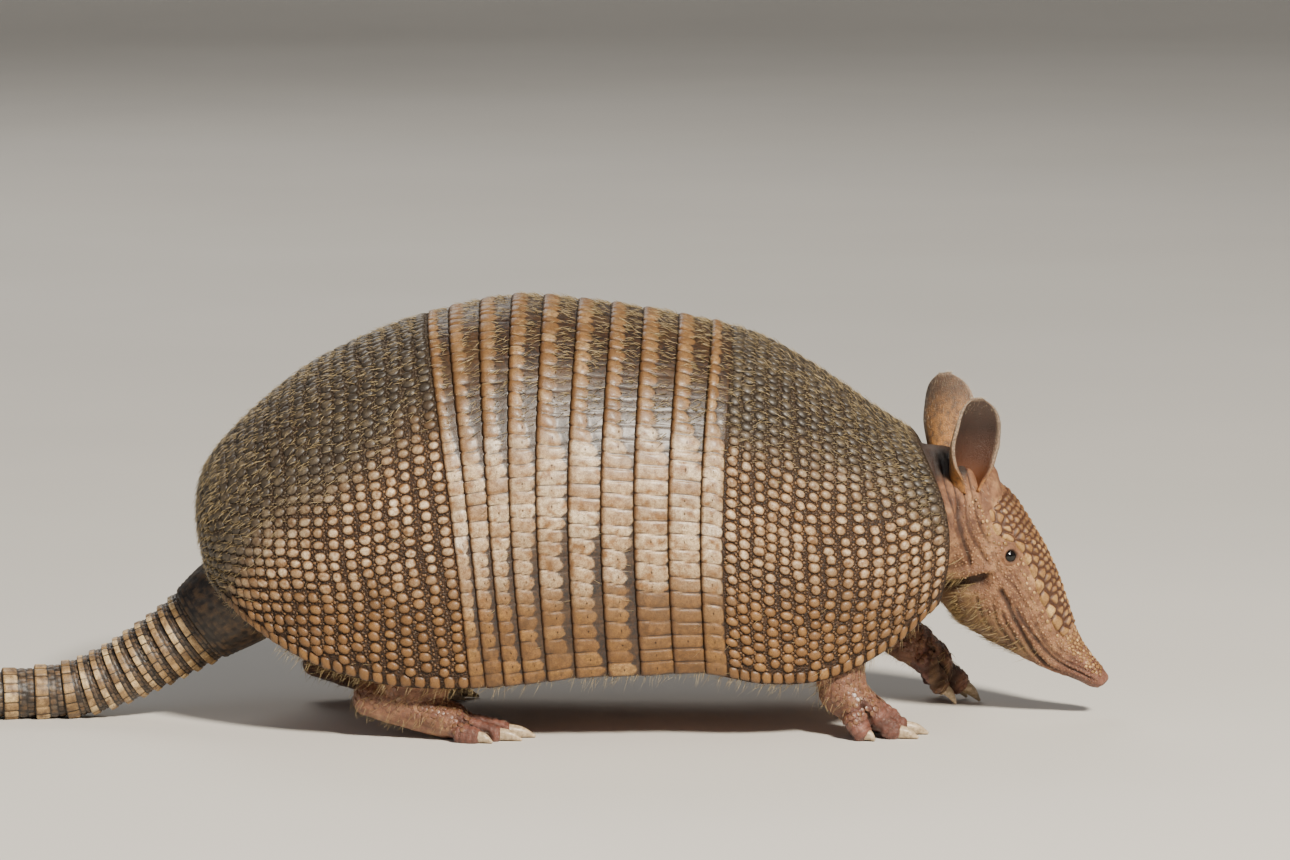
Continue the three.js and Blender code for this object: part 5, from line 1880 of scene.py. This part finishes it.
# %% [markdown]
# ## Hair on the soft parts
# The skin carries sparse hair: straw-coloured along the throat and jaw, long and thin under the
# shell's edge and on the belly, short on legs and face, and a fine fringe round the ears. All of it
# uses the same spike as the shell's hair, set on the skin's own points with the skin's own outward
# directions.

# %% Hair on the skin
THROAT_HAIR = hair_material("throat_hair", "775f3c", "a98f60", "cdba8f")
FINE_HAIR = hair_material("fine_hair", "8f7a62", "bfae94", "ddd2bd")


def drawn_lie(normals, wanted, angle):
    """A wanted direction laid flat on the surface and turned a little for each hair."""
    wanted = np.broadcast_to(np.asarray(wanted, float), normals.shape)
    flat = unit(wanted - normals * np.sum(wanted * normals, axis=1, keepdims=True))
    return turned(flat, normals, angle)


HAIR_SPREAD = 0.3  # radians that hairs stray from their common lie


def skin_hairs(name, material, chance, count, wanted, lengths, thick, lifts, seed):
    """Hairs on the skin, where each point's chance says, laid towards a wanted direction."""
    maker = np.random.default_rng(seed)
    chance = np.clip(chance, 0, None)
    pick = maker.choice(len(SKIN_POINTS), count, p=chance / chance.sum(), replace=False)
    roots = SKIN_POINTS[pick] + maker.normal(0, 0.25, (count, 3)) - SKIN_NORMALS[pick] * 0.3
    normals = SKIN_NORMALS[pick]
    lie = drawn_lie(normals, wanted, maker.normal(0, HAIR_SPREAD, count))
    at, degrees = head_measures(roots)
    head = (at > -14) & (roots[:, 0] > BODY_X + 140)
    shell_u = (roots[:, 0] - (BODY_X - 160)) / 330
    shell_v = (np.arctan2(roots[:, 1], roots[:, 2] - 70) / np.pi + 1) / 2
    uv = np.where(head[:, None], np.stack([0.5 + (at + 15) / 220, (degrees + 180) / 360], axis=-1),
                  np.stack([shell_u * 0.48, shell_v], axis=-1))
    mesh = hair_mesh(name, roots, lie, normals, maker.uniform(*lengths, count),
                     maker.uniform(*thick, count), maker.uniform(*lifts, count),
                     maker.uniform(0.1, 0.6, count), np.clip(uv, 0, 1), maker)
    co = arrays_of(mesh)[0]
    co[:, 2] = np.maximum(co[:, 2], 0.0002)
    mesh.vertices.foreach_set("co", co.ravel())
    return add_piece(mesh, name, material)


at, degrees = head_measures(SKIN_POINTS)
x, y, z = SKIN_POINTS[:, 0] - BODY_X, SKIN_POINTS[:, 1], SKIN_POINTS[:, 2]
turn = np.abs(degrees)
face = (at > -10) & (x > 146)
from_eye = from_eyes(SKIN_POINTS)
throat_chance = face * smooth(108, 128, turn) * (1 - smooth(52, 68, at)) * (1 - 0.4 * smooth(20, 50, at))
chest_chance = (x > 116) * (x < 150) * (z > 42) * (1 - smooth(58, 66, z)) * 0.8
skin_hairs("throat_hair", THROAT_HAIR, throat_chance + chest_chance, 1500,
           (-0.75, 0, -0.65), (4.0, 8.5), (0.08, 0.14), (0.1, 0.5), 81)
skin_hairs("face_hair", FINE_HAIR, face * (turn > 45) * (1 - smooth(70, 86, at)) * smooth(4, 6, from_eye),
           700, -HEAD_FORWARD, (1.2, 2.8), (0.04, 0.07), (0.15, 0.6), 82)
legs_chance = (z > 5) * (1 - smooth(36, 46, z)) * ((x < 20) | (np.abs(y) > 34)) * (1 - on_toe) * (x < 158)
skin_hairs("leg_hair", THROAT_HAIR, legs_chance, 1500, (-0.5, 0, -0.85), (3.0, 6.5), (0.05, 0.1),
           (0.2, 0.7), 83)
belly_chance = (z > 15) * (z < 40) * (np.abs(y) < 62) * (x > -110) * (x < 125) * (SKIN_NORMALS[:, 2] < -0.2)
skin_hairs("belly_hair", THROAT_HAIR, belly_chance, 1500, (-0.6, 0, -0.4), (6.0, 11.0), (0.05, 0.1),
           (0.3, 0.9), 84)
toes_chance = on_toe * (z > 3) * (SKIN_NORMALS[:, 2] > 0)
skin_hairs("toe_hair", FINE_HAIR, toes_chance, 260, (0.7, 0, -0.5), (1.5, 3.0), (0.04, 0.07), (0.2, 0.5), 85)


# %% Hair under the shell's edge, and round the ears
def edge_hairs(name, count, seed):
    maker = np.random.default_rng(seed)
    at = maker.uniform(20, 312, count)
    side = maker.choice([-1.0, 1.0], count)
    roots = vault(at, side * maker.uniform(0.975, 0.995, count), -3.2) / MM
    forward, _, out = vault_axes(at, side)
    down = np.tile([0.0, 0.0, -1.0], (count, 1))
    lie = unit(down + 0.35 * out - forward * maker.uniform(0.1, 0.9, count)[:, None])
    outward = unit(out - lie * np.sum(out * lie, axis=1, keepdims=True))
    length = maker.uniform(4.0, 10.0, count) * np.where(at > 60, 1, 0.6)
    uv = np.stack([at / 330, 0.5 + side * 0.3 + maker.uniform(-0.15, 0.15, count)], axis=-1)
    mesh = hair_mesh(name, roots, lie, outward, length, maker.uniform(0.06, 0.11, count),
                     maker.uniform(-0.1, 0.3, count), maker.uniform(-0.2, 0.3, count), uv, maker)
    return add_piece(mesh, name, THROAT_HAIR)


def ear_fringe(name, count, seed):
    maker = np.random.default_rng(seed)
    parts = []
    for ear in EARS:
        f = np.where(maker.uniform(0, 1, count) < 0.75, maker.uniform(0.12, 1.0, count), 0.99)
        across = np.where(f > 0.985, maker.uniform(-1, 1, count), maker.choice([-1.0, 1.0], count))
        depth = maker.uniform(-0.8, 0.2, count)
        roots = ear_place(ear, f, across * 0.99, depth)
        inner, below = [ear_place(ear, f - back, across * 0.8, depth) for back in (0, 0.06)]
        lie = unit(unit(roots - inner) + 0.7 * unit(inner - below))
        outward = unit(np.cross(lie, unit(inner - below) + maker.normal(0, 0.4, (count, 3))))
        half = 0.5 * (ear == "ear_left")
        parts.append((roots, lie, outward, np.stack([f, (across + 1) / 4 + half], axis=-1)))
        # as many again on both faces of the ear
        f, across = maker.uniform(0.3, 0.95, count), maker.uniform(-0.9, 0.9, count)
        face = np.where(maker.uniform(0, 1, count) < 0.5, 0.2, -1.05)
        roots = ear_place(ear, f, across, face)
        outward = unit(ear_place(ear, f, across, face * 2 + 1) - roots) * np.sign(face)[:, None]
        lie = unit(roots - ear_place(ear, f - 0.05, across, face))
        outward = unit(outward - lie * np.sum(lie * outward, axis=1, keepdims=True))
        parts.append((roots, lie, outward, np.stack([f, (across + 1) / 4 + half], axis=-1)))
    roots, lie, outward, uv = [np.vstack(group) for group in zip(*parts)]
    total = len(roots)
    mesh = hair_mesh(name, roots, lie, outward, maker.uniform(0.9, 1.9, total),
                     maker.uniform(0.035, 0.06, total), maker.uniform(0.1, 0.5, total),
                     maker.uniform(-0.2, 0.3, total), uv, maker)
    return add_piece(mesh, name, FINE_HAIR)


edge_hairs("shell_edge_hair", 900, 86)
ear_fringe("ear_fringe", 260, 87)

# %% [markdown]
# ## Floor, light and camera
# The figure stands on a plain pale floor that curves up behind it. One large soft light comes from
# the right and above on the camera's side, like an afternoon sun, and two weaker ones fill the
# shadows.

# %% Floor and lights
def studio_floor():
    """A wide floor with a gently curved back wall, made by sweeping one edge."""
    bm = bmesh.new()
    turns = [math.radians(90) * i / 12 for i in range(1, 13)]
    outline = [(-8, 0), (4, 0), *((4 + 2 * math.sin(t), 2 - 2 * math.cos(t)) for t in turns), (6, 8)]
    verts = [bm.verts.new((-6, y, z)) for y, z in outline]
    for pair in zip(verts[:-1], verts[1:]):
        bm.edges.new(pair)
    made = bmesh.ops.extrude_edge_only(bm, edges=bm.edges[:])
    moved = [part for part in made["geom"] if isinstance(part, bmesh.types.BMVert)]
    bmesh.ops.translate(bm, verts=moved, vec=(12, 0, 0))
    bmesh.ops.recalc_face_normals(bm, faces=bm.faces)
    mesh = mesh_of(bm, "studio_floor")
    mesh.polygons.foreach_set("use_smooth", [True] * len(mesh.polygons))
    material, tree, shader = new_material("floor_paper")
    color = ramp(tree, speckle(tree, 400), (0.3, "d3cfc8"), (0.7, "d9d5ce"))
    finish_material(tree, shader, color, 0.85)
    mesh.materials.append(material)
    floor = bpy.data.objects.new("studio_floor", mesh)
    bpy.context.scene.collection.objects.link(floor)


def area_light(name, place, target, size, power, color):
    data = bpy.data.lights.new(name, "AREA")
    data.shape, data.size, data.energy, data.color = "DISK", size, power, color
    lamp = bpy.data.objects.new(name, data)
    lamp.location = place
    lamp.rotation_euler = (Vector(target) - Vector(place)).to_track_quat("-Z", "Y").to_euler()
    bpy.context.scene.collection.objects.link(lamp)


studio_floor()
AIM = (0.12, 0.0, 0.09)
area_light("key", (1.1, -2.05, 1.85), AIM, 0.42, 185, (1.0, 0.93, 0.81))
area_light("fill", (-2.2, -1.6, 1.3), AIM, 2.4, 7, (0.88, 0.93, 1.0))
area_light("rim", (-0.6, 2.4, 1.9), AIM, 1.6, 22, (1.0, 0.97, 0.92))
world = bpy.data.worlds.new("studio")
world.use_nodes = True
sky = world.node_tree.nodes["Background"].inputs
sky["Color"].default_value, sky["Strength"].default_value = (0.9, 0.93, 1.0, 1), 0.16
bpy.context.scene.world = world

# %% [markdown]
# The camera looks at the animal's right side from 2.8 m away and 7 degrees above the level. Its
# narrow view cuts off the tail and the tip of the snout, as a long lens in the field would.

# %% Camera
CAMERA_TARGET = Vector((0.1408, 0.0, 0.1135))
CAMERA_DISTANCE, CAMERA_RAISED, FIELD_WIDTH = 2.8, math.radians(7), 0.503
camera_data = bpy.data.cameras.new("camera")
camera_data.sensor_width, camera_data.clip_end = 36, 50
camera_data.lens = 36 * CAMERA_DISTANCE / FIELD_WIDTH
camera = bpy.data.objects.new("camera", camera_data)
camera.location = CAMERA_TARGET + CAMERA_DISTANCE * Vector(
    (0, -math.cos(CAMERA_RAISED), math.sin(CAMERA_RAISED)))
camera.rotation_euler = (CAMERA_TARGET - camera.location).to_track_quat("-Z", "Y").to_euler()
bpy.context.scene.collection.objects.link(camera)
bpy.context.scene.camera = camera
